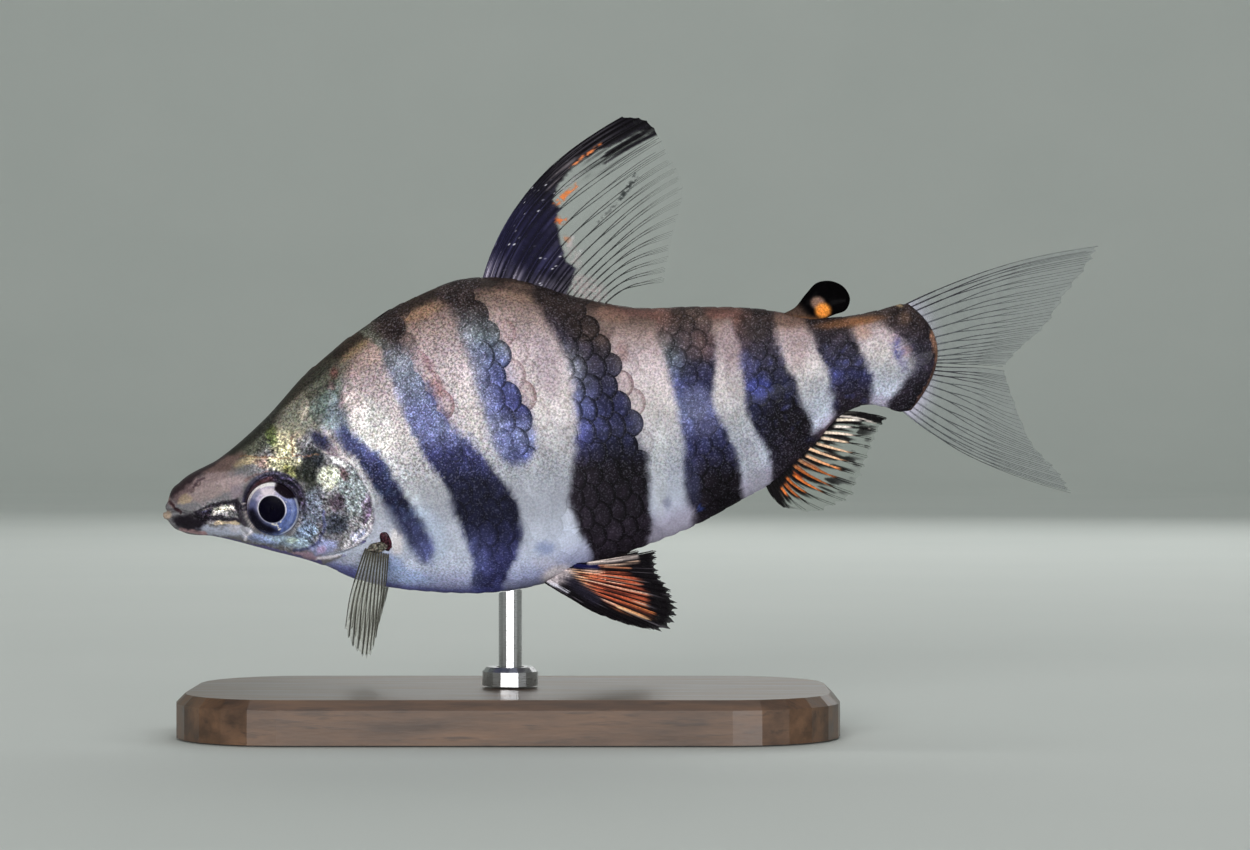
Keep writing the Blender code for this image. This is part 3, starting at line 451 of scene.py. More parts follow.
# Scales behind the rear edge of these bars have reddish outlines, between two heights
FRINGED = {"B": (350, 416, 0.75), "C": (330, 408, 0.9), "D": (350, 436, 0.6)}
FRINGE_WIDTH = 13
FRINGE_COLOUR = (158, 118, 122)
FRINGE_EDGE = (98, 58, 62)

# Pale ground from the belly, 0, to the back, 1. It darkens towards the back and at the belly's edge, partly
# the body's own tone and partly painted shade where the body turns away from the light.
GROUND = [
    (0.0, (112, 116, 150)), (0.04, (158, 164, 200)), (0.10, (188, 195, 216)), (0.17, (182, 188, 204)),
    (0.26, (166, 170, 184)), (0.36, (162, 164, 172)), (0.46, (176, 173, 178)), (0.57, (196, 188, 189)),
    (0.70, (196, 183, 187)), (0.80, (172, 156, 160)), (0.88, (150, 130, 126)), (0.94, (102, 84, 77)),
    (1.0, (56, 46, 42)),
]
REAR_BELLY = (166, 162, 182)

# Where the outlines of scales show in the dark marks: place, radii, turn in degrees, strength
OUTLINED = [
    (515, 388, 30, 78, -14, 0.85), (606, 388, 46, 88, -12, 1.0), (692, 350, 32, 46, -5, 0.6),
    (776, 402, 34, 78, -8, 0.7), (850, 365, 30, 44, 0, 0.5), (612, 500, 44, 60, 0, 0.95),
    (718, 470, 30, 44, 0, 0.75), (488, 505, 34, 70, -25, 0.4), (900, 360, 30, 44, 0, 0.35),
]
OUTLINE_LEAST = 0.10
MOTTLE = (66, 70, 128)
NAPE_GRAIN = (326, 412, 34, 44, 10)
# Where painted glints brighten specks on the first bar: place, radii, turn in degrees
FIRST_BAR_GLINTS = (388, 482, 22, 60, -36)

# Soft patches over the bars: place, radii, turn in degrees, colour, strength
OVER_PATCHES = [
    (898, 350, 6, 17, -6, 112, 104, 138, 0.6), (895, 338, 6, 6, 0, 150, 128, 138, 0.5),
    (747, 364, 8, 15, -14, 90, 90, 138, 0.45), (760, 388, 13, 12, -14, 62, 70, 146, 0.50),
    (753, 330, 17, 13, 0, 60, 52, 52, 0.55), (697, 402, 16, 20, -10, 112, 114, 140, 0.5),
    (708, 426, 16, 12, -20, 78, 76, 98, 0.45), (692, 480, 9, 30, -8, 50, 54, 84, 0.6),
    (700, 509, 4, 3, 0, 60, 84, 170, 0.6), (706, 345, 11, 18, -8, 96, 70, 66, 0.4),
    (411, 380, 11, 32, -20, 120, 126, 140, 0.42), (420, 418, 14, 20, -25, 90, 94, 142, 0.5),
    (378, 418, 15, 19, -20, 190, 188, 190, 0.45), (505, 438, 13, 10, -10, 84, 92, 150, 0.35),
    (899, 304, 5, 2.5, 30, 186, 164, 126, 0.7), (879, 313, 20, 4.5, -14, 56, 48, 46, 0.6),
    (897, 350, 3.5, 13, -6, 66, 70, 130, 0.6), (907, 350, 4, 8, 0, 116, 84, 96, 0.5),
    (904, 366, 5, 7, 0, 92, 90, 130, 0.5), (438, 388, 6, 13, -24, 148, 108, 108, 0.65),
    (429, 364, 4, 12, -24, 134, 98, 108, 0.5), (321, 441, 15, 8, 38, 36, 38, 64, 0.95),
    (333, 452, 9, 5, 38, 128, 112, 124, 0.75), (346, 440, 9, 15, -32, 52, 56, 92, 0.8),
    (622, 352, 6, 11, -12, 126, 96, 92, 0.5), (604, 335, 9, 10, -12, 84, 68, 64, 0.5),
    (694, 345, 14, 16, 0, 92, 74, 72, 0.45), (850, 322, 36, 5, -8, 128, 86, 58, 0.7),
    (905, 318, 7, 7, 40, 84, 64, 52, 0.6),
]
# Strokes: path, width, colour, strength
OVER_STROKES = [
    ([(932, 332), (936, 345), (936, 360)], 3.0, (182, 132, 100), 0.6),
    ([(936, 360), (934, 372), (928, 386), (919, 400), (911, 411)], 2.2, (116, 80, 64), 0.6),
    ([(372, 468), (384, 494), (398, 520), (412, 542)], 8, (32, 34, 62), 0.45),
    ([(338, 574), (362, 580), (400, 589), (450, 593), (500, 592)], 5, (84, 88, 166), 0.5),
    ([(426, 384), (435, 401), (445, 416), (456, 432)], 4.5, (54, 52, 94), 0.5),
]
# The same under the bars
BODY_PATCHES = [
    (300, 418, 26, 22, -30, 120, 120, 108, 0.95), (326, 396, 22, 30, 12, 110, 118, 114, 0.95),
    (338, 420, 12, 24, -20, 116, 128, 140, 0.8), (322, 384, 36, 10, -42, 84, 84, 74, 0.9),
    (304, 410, 5, 12, 12, 168, 158, 146, 0.75), (322, 404, 8, 12, 10, 84, 94, 92, 0.7),
    (340, 425, 8, 12, -24, 172, 186, 198, 0.7), (326, 424, 7, 9, 0, 112, 124, 132, 0.6),
    (332, 392, 9, 9, 0, 96, 108, 104, 0.6), (334, 373, 5, 5, 0, 104, 62, 60, 0.7),
    (331, 386, 4, 4, 0, 110, 72, 78, 0.6), (343, 399, 4, 12, 12, 150, 122, 130, 0.6),
    (352, 347, 22, 9, -35, 136, 116, 88, 0.75), (372, 356, 12, 10, 0, 176, 152, 146, 0.7),
    (371, 428, 20, 34, -25, 234, 229, 226, 0.85), (352, 398, 10, 18, -20, 204, 190, 190, 0.7),
    (418, 312, 26, 9, -18, 150, 118, 96, 0.75), (546, 368, 13, 34, -14, 160, 144, 154, 0.6),
    (452, 408, 9, 30, -22, 160, 150, 164, 0.4), (734, 376, 11, 26, -4, 120, 112, 118, 0.4),
    (520, 293, 34, 9, 8, 148, 120, 106, 0.7), (612, 314, 18, 9, 10, 150, 116, 102, 0.6),
    (690, 312, 84, 8, 0, 120, 84, 78, 0.75), (733, 344, 15, 26, 0, 146, 128, 132, 0.7),
    (797, 346, 13, 26, 0, 158, 138, 140, 0.6), (790, 320, 18, 9, 0, 120, 94, 84, 0.7),
    (848, 323, 26, 4.5, -6, 142, 96, 62, 0.55), (524, 492, 62, 36, 0, 150, 153, 164, 0.5),
    (752, 462, 12, 34, -10, 146, 146, 156, 0.6), (862, 332, 10, 8, 20, 176, 140, 124, 0.6),
    (545, 548, 11, 7, 0, 108, 122, 170, 0.5), (425, 535, 22, 34, -25, 172, 186, 210, 0.6),
    (395, 575, 40, 10, 8, 150, 172, 214, 0.6), (396, 542, 7, 14, -8, 226, 220, 222, 0.85),
    (350, 575, 34, 9, 14, 104, 108, 166, 0.8), (390, 562, 16, 8, 20, 128, 150, 206, 0.5),
    (660, 470, 8, 50, 0, 184, 186, 188, 0.4), (556, 574, 17, 9, -20, 208, 198, 198, 0.8),
    (546, 563, 15, 7, 0, 184, 182, 198, 0.5), (667, 503, 4, 7, 0, 110, 112, 140, 0.5),
    (315, 452, 12, 10, -30, 160, 148, 134, 0.5),
]
BODY_STROKES = [
    ([(348, 448), (362, 456), (374, 468)], 6, (46, 48, 76), 0.9),
    ([(779, 480), (790, 468), (800, 457), (811, 446), (822, 434)], 6, (38, 30, 40), 0.85),
    ([(822, 434), (832, 424), (842, 413)], 3.5, (70, 52, 62), 0.7),
    ([(258, 425), (276, 408), (296, 390), (318, 372), (338, 354)], 7, (46, 46, 40), 0.8),
    ([(338, 354), (352, 342), (372, 330), (400, 312), (430, 297), (470, 285), (500, 284)],
     6, (40, 34, 32), 0.8),
    ([(500, 286), (560, 297), (596, 306)], 5, (60, 47, 43), 0.7),
    ([(610, 306), (680, 308), (760, 311), (830, 312), (880, 306)], 4, (70, 46, 40), 0.6),
    ([(905, 308), (919, 324), (933, 344), (938, 360), (935, 380), (923, 396), (908, 412)],
     3, (128, 98, 84), 0.7),
]

HEAD_GROUND = (118, 116, 120)
HEAD_PATCHES = [
    (250, 436, 44, 22, -40, 82, 84, 72, 0.95), (290, 408, 24, 18, -40, 104, 106, 94, 0.9),
    (222, 465, 26, 9, -30, 104, 84, 80, 0.9), (186, 489, 20, 9, -38, 104, 84, 86, 0.9),
    (212, 481, 24, 8, -22, 146, 127, 127, 0.95), (226, 484, 24, 7, -14, 168, 149, 150, 0.9),
    (204, 494, 26, 8, -14, 152, 135, 134, 0.9), (236, 492, 8, 8, 0, 146, 130, 140, 0.7),
    (185, 499, 8, 5, -20, 168, 148, 116, 0.6), (250, 461, 16, 5, -14, 178, 158, 122, 0.7),
    (267, 462, 13, 7, 0, 164, 138, 130, 0.85), (286, 441, 15, 20, 12, 206, 198, 158, 0.95),
    (271, 435, 7, 14, -12, 84, 94, 54, 0.85), (299, 434, 7, 12, 10, 176, 156, 132, 0.8),
    (304, 443, 9, 9, 20, 104, 104, 108, 0.7), (284, 463, 18, 7, 0, 186, 182, 146, 0.9),
    (292, 471, 12, 6, 14, 120, 118, 66, 0.8), (304, 473, 12, 9, 20, 40, 42, 34, 0.95),
    (313, 458, 11, 9, 30, 26, 29, 34, 0.95), (311, 487, 7, 11, 10, 48, 50, 42, 0.85),
    (320, 441, 12, 7, 38, 36, 38, 62, 0.95), (333, 452, 9, 5, 38, 122, 108, 120, 0.8),
    (343, 451, 9, 5, 38, 170, 158, 168, 0.8), (353, 493, 17, 26, -8, 136, 144, 148, 0.9),
    # the second patch below is a painted highlight, a white glint on the gill cover
    (329, 477, 12.5, 12, 0, 208, 212, 188, 0.95), (338, 460, 9, 4.5, 35, 254, 254, 252, 1.0),
    (344, 474, 3, 7, -20, 84, 62, 66, 0.75), (338, 502, 8.5, 10, -10, 56, 46, 56, 0.9),
    (336, 524, 14, 12, 0, 50, 54, 66, 0.9), (366, 506, 5, 15, 8, 112, 98, 118, 0.7),
    (360, 537, 10, 8, -30, 160, 166, 200, 0.8), (311.5, 511, 13, 26, 6, 92, 97, 112, 0.9),
    (306.6, 532, 12, 10, 0, 116, 134, 162, 0.75), (288, 541, 30, 7, 8, 152, 172, 190, 0.9),
    # the first patch below is a painted highlight, a glint on the cheek
    (292, 540.6, 4.5, 4, 0, 206, 226, 214, 0.8), (324, 547, 15, 9, -15, 160, 166, 212, 0.9),
    (321, 550, 5, 4, 0, 196, 160, 196, 0.6), (306.6, 556, 17, 4, 12, 178, 146, 168, 0.75),
    (216, 531, 34, 5, 8, 186, 192, 212, 0.9), (240, 530, 15, 4.0, 16, 212, 212, 226, 0.75),
    (262, 540, 17, 5, 14, 150, 166, 212, 0.8), (385, 510, 7, 14, -20, 150, 144, 184, 0.9),
    (369, 546, 9, 6, 0, 74, 72, 128, 0.9), (352, 558, 20, 5, -14, 140, 148, 206, 0.7),
    (309, 469, 9, 12, -15, 24, 26, 24, 0.85),
]
HEAD_STROKES = [
    ([(170, 494), (184, 482), (197, 472), (212, 461), (231, 449)], 5.5, (44, 34, 38), 0.85),
    ([(231, 449), (250, 437), (268, 421), (283, 406), (296, 392)], 8, (40, 40, 36), 0.9),
    ([(194, 487), (198, 481), (204, 478)], 1.3, (72, 54, 62), 0.7),
    ([(197, 512), (214, 506), (236, 501), (240, 508)], 3.6, (28, 24, 32), 0.9),
    ([(204, 517), (222, 519), (240, 521)], 3.0, (38, 33, 42), 0.85),
    ([(205, 512.5), (220, 509.5), (232, 507.5)], 4.4, (196, 188, 182), 0.9),
    ([(218, 510), (231, 507)], 2.2, (255, 246, 222), 0.9),
    ([(203, 513), (210, 511.5)], 2.6, (104, 118, 190), 0.7),
    ([(217, 523), (229, 522.5), (238, 524)], 2.4, (200, 180, 152), 0.9),
    ([(236, 503), (239, 510), (241, 518), (244, 524)], 3.0, (44, 38, 48), 0.75),
    # a painted highlight along the orbit's rim in front of the eye
    ([(243.5, 505), (246, 515), (249.5, 522), (253, 527.5)], 1.2, (222, 206, 208), 0.6),
    ([(250.3, 531), (244, 539)], 1.1, (246, 240, 248), 0.85),
    ([(201, 535), (230, 541), (252, 546), (276, 551), (300, 559), (320, 563)], 2.6, (94, 86, 152), 0.85),
    ([(181, 530), (194, 532), (206, 534)], 2.4, (186, 148, 150), 0.9),
    ([(167, 497), (170, 502), (173, 506)], 2.4, (150, 124, 122), 0.9),
    ([(170.5, 502), (174, 507), (181, 512)], 1.6, (52, 34, 38), 0.9),
    ([(336, 451), (354, 461), (366, 477), (375, 495), (379, 513), (373, 529)], 5.0, (170, 156, 172), 0.9),
    # a painted highlight along the gill cover's rim
    ([(340, 452), (357, 463), (369, 480), (377, 498), (379, 512)], 1.6, (246, 226, 226), 0.9),
    ([(362, 473), (368, 482), (373, 491)], 2.2, (252, 206, 176), 0.95),
    ([(370, 500), (370, 512), (364, 524)], 1.8, (104, 84, 116), 0.8),
    # the next two are painted highlights, white lines along the gill cover's lower rim
    ([(377, 522), (364, 538), (350, 548), (334, 556), (318, 559)], 2.0, (234, 228, 238), 0.95),
    ([(371, 519), (362, 531), (352, 541), (342, 548)], 1.4, (228, 222, 230), 0.9),
    ([(294, 422), (292, 440), (293, 456), (318, 455)], 1.0, (100, 72, 56), 0.65),
    ([(240, 456), (262, 457), (290, 458)], 0.9, (120, 86, 60), 0.5),
    ([(324, 512), (324, 530), (318, 543), (308, 549), (294, 550)], 2.0, (70, 74, 112), 0.75),
    ([(245, 480), (256, 475), (268, 472)], 2.0, (98, 58, 56), 0.35),
]
# Where the head glitters: place, radii, turn, strength
GLITTER = [
    (344, 500, 40, 52, -10, 0.9), (290, 456, 44, 34, 0, 0.95), (310, 515, 22, 34, 0, 0.95),
    (220, 512, 26, 12, -8, 0.9), (290, 400, 60, 26, -42, 0.5), (285, 543, 40, 10, 8, 0.3),
]
JAW_BLACK = [
    (172, 518), (180, 514.5), (191, 515), (203, 511), (213, 508), (209, 515), (206, 523), (200, 530.5),
    (187, 531), (176, 526.5),
]
LIP_PALE = (167, 515, 5, 4.5, -20, 196, 172, 152, 0.9)
ORBIT_SHADOW = ((274.2, 504.0), 32.8)  # painted shadow of the brow: a dark disc behind the eye that shows as a crescent above it
ORBIT_SHADOW_COLOUR = (36, 31, 44)
ORBIT_GLEAM = [(243.5, 504), (245, 512), (248, 519.5), (253, 527.5)]  # a painted highlight: a lit line along the orbit's rim in front of the eye


def blend(rgb, colour, mask):
    """Lays a colour over colours where the mask, from 0 to 1, says so."""
    return rgb + (np.asarray(colour, float) - rgb) * np.asarray(mask)[..., None]


def plain(colour, count):
    """One colour for a number of points."""
    return np.tile(np.array(colour, float), (count, 1))


def patch_mask(u, v, place):
    """A soft oval spot, from its centre, its two radii and its turn in degrees."""
    middle_u, middle_v, long, wide, turn = place
    angle = math.radians(turn)
    du, dv = u - middle_u, v - middle_v
    along = (du * math.cos(angle) + dv * math.sin(angle)) / long
    across = (-du * math.sin(angle) + dv * math.cos(angle)) / wide
    return fall(0.55, 1.25, np.hypot(along, across))


def lay(rgb, u, v, patches, strokes):
    """Lays soft patches and strokes over colours, in turn."""
    for *place, red, green, blue, strength in patches:
        rgb = blend(rgb, (red, green, blue), strength * patch_mask(u, v, place))
    for path, width, colour, strength in strokes:
        near = path_distance(u, v, path)
        rgb = blend(rgb, colour, strength * fall(0.45 * width, 1.15 * width, near))
    return rgb


def strongest(u, v, spots, least=0.0):
    """The strongest of several soft spots at each point."""
    best = np.full(len(u), least)
    for *place, strength in spots:
        best = np.maximum(best, strength * patch_mask(u, v, place))
    return best


def graded(stops, x):
    """Colours between stops given as (place, colour)."""
    places = [stop[0] for stop in stops]
    return np.stack([np.interp(x, places, [stop[1][k] for stop in stops]) for k in range(3)], axis=-1)


for bar in BARS.values():
    for edge in ("front", "rear"):
        bar[edge + "_at"] = smooth_line(sorted((v, u) for u, v in bar[edge]))


def bar_mask(bar, u, v, shift=0.0):
    wobble = noise(u, v, 9, 0) * 2.2 + noise(u, v, 3.5, 1) * 1.3
    u = u - shift + wobble
    front, rear = bar["front_at"](v), bar["rear_at"](v)
    soft_front, soft_rear = bar["soft"]
    mask = smoothstep(front - soft_front, front + soft_front, u)
    mask = mask * fall(rear - soft_rear, rear + soft_rear, u)
    if "start" in bar:
        mask = mask * smoothstep(bar["start"] - 14, bar["start"] + 14, v + 2 * wobble)
    if "end" in bar:
        mask = mask * fall(bar["end"] - 5, bar["end"] + 5, v + wobble)
    return mask


def bar_tone(bar, u, v):
    front, rear = bar["front_at"](v), bar["rear_at"](v)
    across = smoothstep(0.0, 0.6, (u - front) / np.maximum(rear - front, 1))
    fore = graded([(tone[0], TONES[tone[1]]) for tone in bar["tones"]], v)
    aft = graded([(tone[0], TONES[tone[2]]) for tone in bar["tones"]], v)
    return fore + (aft - fore) * across[..., None]


def ground_tone(s, h, u, v):
    level = np.clip((h - belly(s)) / np.maximum(back(s) - belly(s), 0.1), 0, 1)
    rgb = graded(GROUND, level)
    rear = smoothstep(48, 60, s) * fall(0.05, 0.16, level)
    rgb = blend(rgb, REAR_BELLY, rear)
    patchy = noise(u, v, 16, 2) * 0.035 + noise(u, v, 6, 3) * 0.03
    return rgb * (1 + patchy[..., None])


def glitter_at(u, v):
    """How strongly the scaled skin glitters: most behind the head, and least low on the middle."""
    low = smoothstep(0, 42, v - 458 - 0.3 * np.maximum(430 - u, 0))
    return (1 - 0.42 * smoothstep(430, 600, u)) * (1 - 0.68 * low + 0.25 * smoothstep(545, 570, v))


def body_paint(s, h, out, centre=None, rim=None):
    """Colour of the skin at points, with grain, painted glints and roughness; a scale may take its colour
    partly from its own centre.

    Returns colours from 0 to 255, and grain, the strength of painted glints and roughness from 0 to 1.
    """
    u, v = photo_place(s, h, out)
    rgb = ground_tone(s, h, u, v)
    rgb = lay(rgb, u, v, BODY_PATCHES, BODY_STROKES)
    dark = np.zeros(len(s))
    for name, bar in BARS.items():
        mask = bar_mask(bar, u, v)
        tone = bar_tone(bar, u, v)
        if centre is not None and name in FRINGED:
            cu, cv = centre
            high, low, strength = FRINGED[name]
            at_height = smoothstep(high - 12, high + 12, cv) * fall(low - 12, low + 12, cv)
            at_centre = bar_mask(bar, cu, cv)
            front = bar["front_at"](v)
            behind = smoothstep(0.3, 0.7, (u - front) / (bar["rear_at"](v) - front))
            whole = 0.75 * behind * fall(low - 10, low + 40, v)
            mask = mask + (smoothstep(0.3, 0.7, at_centre) - mask) * whole
            fringe = bar_mask(bar, cu, cv, FRINGE_WIDTH) * fall(0.2, 0.8, at_centre)
            fringe = fringe * at_height * strength * (0.6 + 0.4 * noise(cu, cv, 3, 16))
            rgb = blend(rgb, FRINGE_COLOUR, 0.45 * fringe)
            rgb = blend(rgb, FRINGE_EDGE, 0.75 * fringe * rim)
        speckle = 1 + 0.26 * noise(u, v, 2.2, 4) + 0.22 * noise(u, v, 6, 5)
        blue = smoothstep(0.15, 0.8, noise(u, v, 5.5, 36)) * smoothstep(335, 350, v)
        blue = blue * fall(430, 452, v) * fall(872, 888, u)
        tone = blend(tone, MOTTLE, blue * (0.12 + 0.24 * smoothstep(720, 770, u)))
        rgb = rgb + (tone * speckle[..., None] - rgb) * mask[..., None]
        dark = np.maximum(dark, mask)
    rgb = lay(rgb, u + 2 * noise(u, v, 4, 21), v, OVER_PATCHES, OVER_STROKES)
    coarse = patch_mask(u, v, NAPE_GRAIN)
    coarse = coarse * (0.30 * noise(u, v, 2.1, 37) + 0.16 * noise(u, v, 4.5, 38))
    # Painted glints: brighter specks on the first bar, in place of its scales catching the light.
    first = patch_mask(u, v, FIRST_BAR_GLINTS) * smoothstep(-0.1, 0.6, noise(u, v, 1.9, 44))
    rgb = rgb * (1 + coarse)[:, None]
    rgb = blend(rgb, rgb * 1.25 + (8, 16, 14), 0.8 * first)
    glitter = glitter_at(u, v)
    if rim is not None:
        outline = strongest(u, v, OUTLINED, OUTLINE_LEAST)
        rgb = blend(rgb, rgb * 0.42, 0.85 * rim * dark * outline)
        rgb = blend(rgb, rgb * 1.2 + 8, 0.6 * (1 - rim) * dark * outline)
        rgb = blend(rgb, rgb * 0.86, rim * (1 - dark) * outline)
    # How strongly painted glints, bright specks of highlight, show in the dark marks.
    glints = dark * (0.14 + 0.86 * glitter)
    return rgb, np.stack([glitter * (1 - 0.25 * dark), glints, 0.50 + 0.12 * dark], axis=-1)


def head_paint(s, h, out):
    """Colour, grain, painted glints and roughness of the head's skin, as body_paint() gives them."""
    u, v = photo_place(s, h, out)
    rgb = plain(HEAD_GROUND, len(s))
    ragged_u = u + 2.0 * noise(u, v, 5, 6) + 1.2 * noise(u, v, 2, 7)
    ragged_v = v + 2.0 * noise(u, v, 5, 8) + 1.2 * noise(u, v, 2, 9)
    rgb = lay(rgb, ragged_u, ragged_v, HEAD_PATCHES, [])
    rgb = lay(rgb, 0.5 * (u + ragged_u), 0.5 * (v + ragged_v), [], HEAD_STROKES)
    rgb = blend(rgb, (24, 19, 26), 0.95 * smoothstep(-3.4, 2.4, inside(ragged_u, ragged_v, JAW_BLACK)))
    rgb = lay(rgb, u, v, [LIP_PALE], [])
    # Painted shadow of the brow: a dark mottled disc round the eye, strong above it and faint below.
    (shadow_u, shadow_v), radius = ORBIT_SHADOW
    reach = np.hypot(u - shadow_u, v - shadow_v)
    over = smoothstep(-0.55, 0.15, (shadow_v - v) / np.maximum(reach, 1))
    disc = fall(radius - 2.0, radius + 0.8, reach)
    arc = noise(np.degrees(np.arctan2(v - shadow_v, u - shadow_u)), reach * 11, 9, 27)
    shade = blend(plain(ORBIT_SHADOW_COLOUR, len(s)), (70, 64, 90), smoothstep(0.15, 0.9, arc))
    shade = blend(shade, (13, 12, 24), smoothstep(0.05, 0.7, -arc))
    shade = blend(shade, (82, 44, 44), 0.6 * fall(26.5, 29.0, reach) * smoothstep(-4, 6, shadow_u - u))
    rgb = rgb + (shade - rgb) * ((0.06 + 0.9 * over) * disc)[..., None]
    crest = smoothstep(0.3, 0.8, (shadow_v - v) / np.maximum(reach, 1)) * smoothstep(-12, 8, shadow_u + 6 - u)
    rgb = blend(rgb, (92, 92, 112), 0.7 * crest * fall(0.6, 2.2, np.abs(reach - radius + 1.6)))
    rgb = rgb * (1 - 0.065 * fall(275, 300, u) * smoothstep(455, 475, v))[:, None]
    # Painted highlight along the orbit's rim in front of the eye.
    gleam = fall(0.7, 2.0, path_distance(u, v, ORBIT_GLEAM))
    rgb = blend(rgb, (222, 210, 206), 0.85 * gleam * smoothstep(-0.7, 0.3, noise(u, v, 2.0, 43)))
    fine = noise(u, v, 1.15, 10) + 0.7 * noise(u, v, 2.6, 11)
    glitter = strongest(u, v, GLITTER)
    rgb = rgb * np.clip(1 + fine * (0.05 + 0.58 * glitter), 0.12, 2.2)[..., None]
    grain = 0.3 + 0.7 * glitter
    return rgb, np.stack([grain, 0.6 * glitter, np.full(len(s), 0.42)], axis=-1)


def to_linear(rgb):
    c = np.clip(np.asarray(rgb, float) / 255, 0, 1)
    return np.where(c <= 0.04045, c / 12.92, ((c + 0.055) / 1.055) ** 2.4)


# Mesh making

def add_object(name, data):
    obj = bpy.data.objects.new(name, data)
    bpy.context.scene.collection.objects.link(obj)
    return obj


def make_piece(
    name, points, faces, material, colours=None, finish_and_glints=None, alpha=None, uv=None, crease=None,
):
    """A mesh piece from points in the fish's frame, which rides on the part's one body."""
    mesh = bpy.data.meshes.new(name)
    mesh.from_pydata(to_world(points).tolist(), [], faces)
    mesh.validate()
    if colours is not None:
        paint = mesh.color_attributes.new("paint", "FLOAT_COLOR", "POINT")
        rgba = np.concatenate([to_linear(colours), np.ones((len(colours), 1))], axis=1)
        paint.data.foreach_set("color", rgba.astype(np.float32).ravel())
    # Per point: grain, the strength of painted glints that stand in for highlights, and roughness; and the
    # clearness of fins.
    for label, kind, field, values in (
        ("finish_and_glints", "FLOAT_VECTOR", "vector", finish_and_glints), ("clearness", "FLOAT", "value", alpha),
    ):
        if values is not None:
            layer = mesh.attributes.new(label, kind, "POINT")
            layer.data.foreach_set(field, values.astype(np.float32).ravel())
    if uv is not None:
        layer = mesh.uv_layers.new(name="OFBake")
        layer.data.foreach_set("uv", np.asarray(uv, np.float32).ravel())
    mesh.materials.append(material)
    mesh.shade_smooth()
    if crease is not None:
        mesh.set_sharp_from_angle(angle=math.radians(crease))
    obj = add_object(name, mesh)
    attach(obj, "root")
    return obj


def grid_faces(rows, columns, closed=False):
    """Quads between the points of a grid stored row by row, closed around its columns if asked."""
    across = columns if closed else columns - 1
    r, c = np.meshgrid(np.arange(rows - 1), np.arange(across), indexing="ij")
    r, c = r.ravel() * columns, c.ravel()
    n = (c + 1) % columns
    return np.stack([r + c, r + n, r + columns + n, r + columns + c], axis=1)


def tube_faces(rows, columns, start=0):
    """The faces of a closed tube of rings with a lid on each end. Its first point has the number start."""
    last = (rows - 1) * columns
    faces = grid_faces(rows, columns, closed=True).tolist()
    faces += [range(columns - 1, -1, -1), range(last, last + columns)]
    return [[start + i for i in face] for face in faces]


def plate_faces(rows, columns):
    """The faces of a thin closed plate: a grid, its reverse behind it and the rim between them."""
    count = rows * columns
    front = grid_faces(rows, columns)
    loop = [*range(columns), *range(2 * columns - 1, count, columns)]
    loop += [*range(count - 2, count - columns - 1, -1), *range(count - 2 * columns, 0, -columns)]
    rims = [(a, count + a, count + b, b) for a, b in zip(loop, loop[1:] + loop[:1])]
    return np.concatenate([front, (count + front)[:, ::-1], rims])


# Skin

def dense(points, count):
    """A smooth open curve through the points, given again as count points."""
    points = np.array(points, float)
    lengths = np.concatenate([[0], np.cumsum(np.linalg.norm(np.diff(points, axis=0), axis=1))])
    places = np.linspace(0, lengths[-1], count)
    return np.stack([smooth_line(list(zip(lengths, values)))(places) for values in points.T], axis=-1)


COVER_OUTLINE = [*dense(COVER_REAR, 40)[:-1], *dense(COVER_FRONT, 16)[:-1]]


def section_point(s, angle):
    """Points (s, h, y) of the body's surface at stations s and angles round it, from the right side up."""
    top, bottom, wide = back(s), belly(s), half_width(s)
    middle = bottom + WIDEST_SHARE * (top - bottom)
    up, out = np.sin(angle), np.cos(angle)
    power = np.where(up >= 0, back_power(s), belly_power(s))
    reach = np.where(up >= 0, top - middle, middle - bottom)
    h = middle + reach * np.sign(up) * np.abs(up) ** (2 / power)
    y = wide * np.sign(out) * np.abs(out) ** (2 / power)
    level = (h - (top + bottom) / 2) / ((top - bottom) / 2)
    arc = TAIL_ARC[0] + TAIL_ARC[1] * level + TAIL_ARC[2] * level**2
    bulge = np.clip((s - TAIL_ARC_FROM) / (TAIL_END - TAIL_ARC_FROM), 0, 1) ** TAIL_ARC_EASE
    return np.stack(np.broadcast_arrays(s + bulge * arc, h, y), axis=-1)


def head_edge(h):
    """Where along the body the head ends and the scales begin, at a height."""
    line = NAPE_CURVE + COVER_REAR[1:] + THROAT_CURVE[1:]
    return smooth_line(sorted((h, s) for s, h in line))(h)


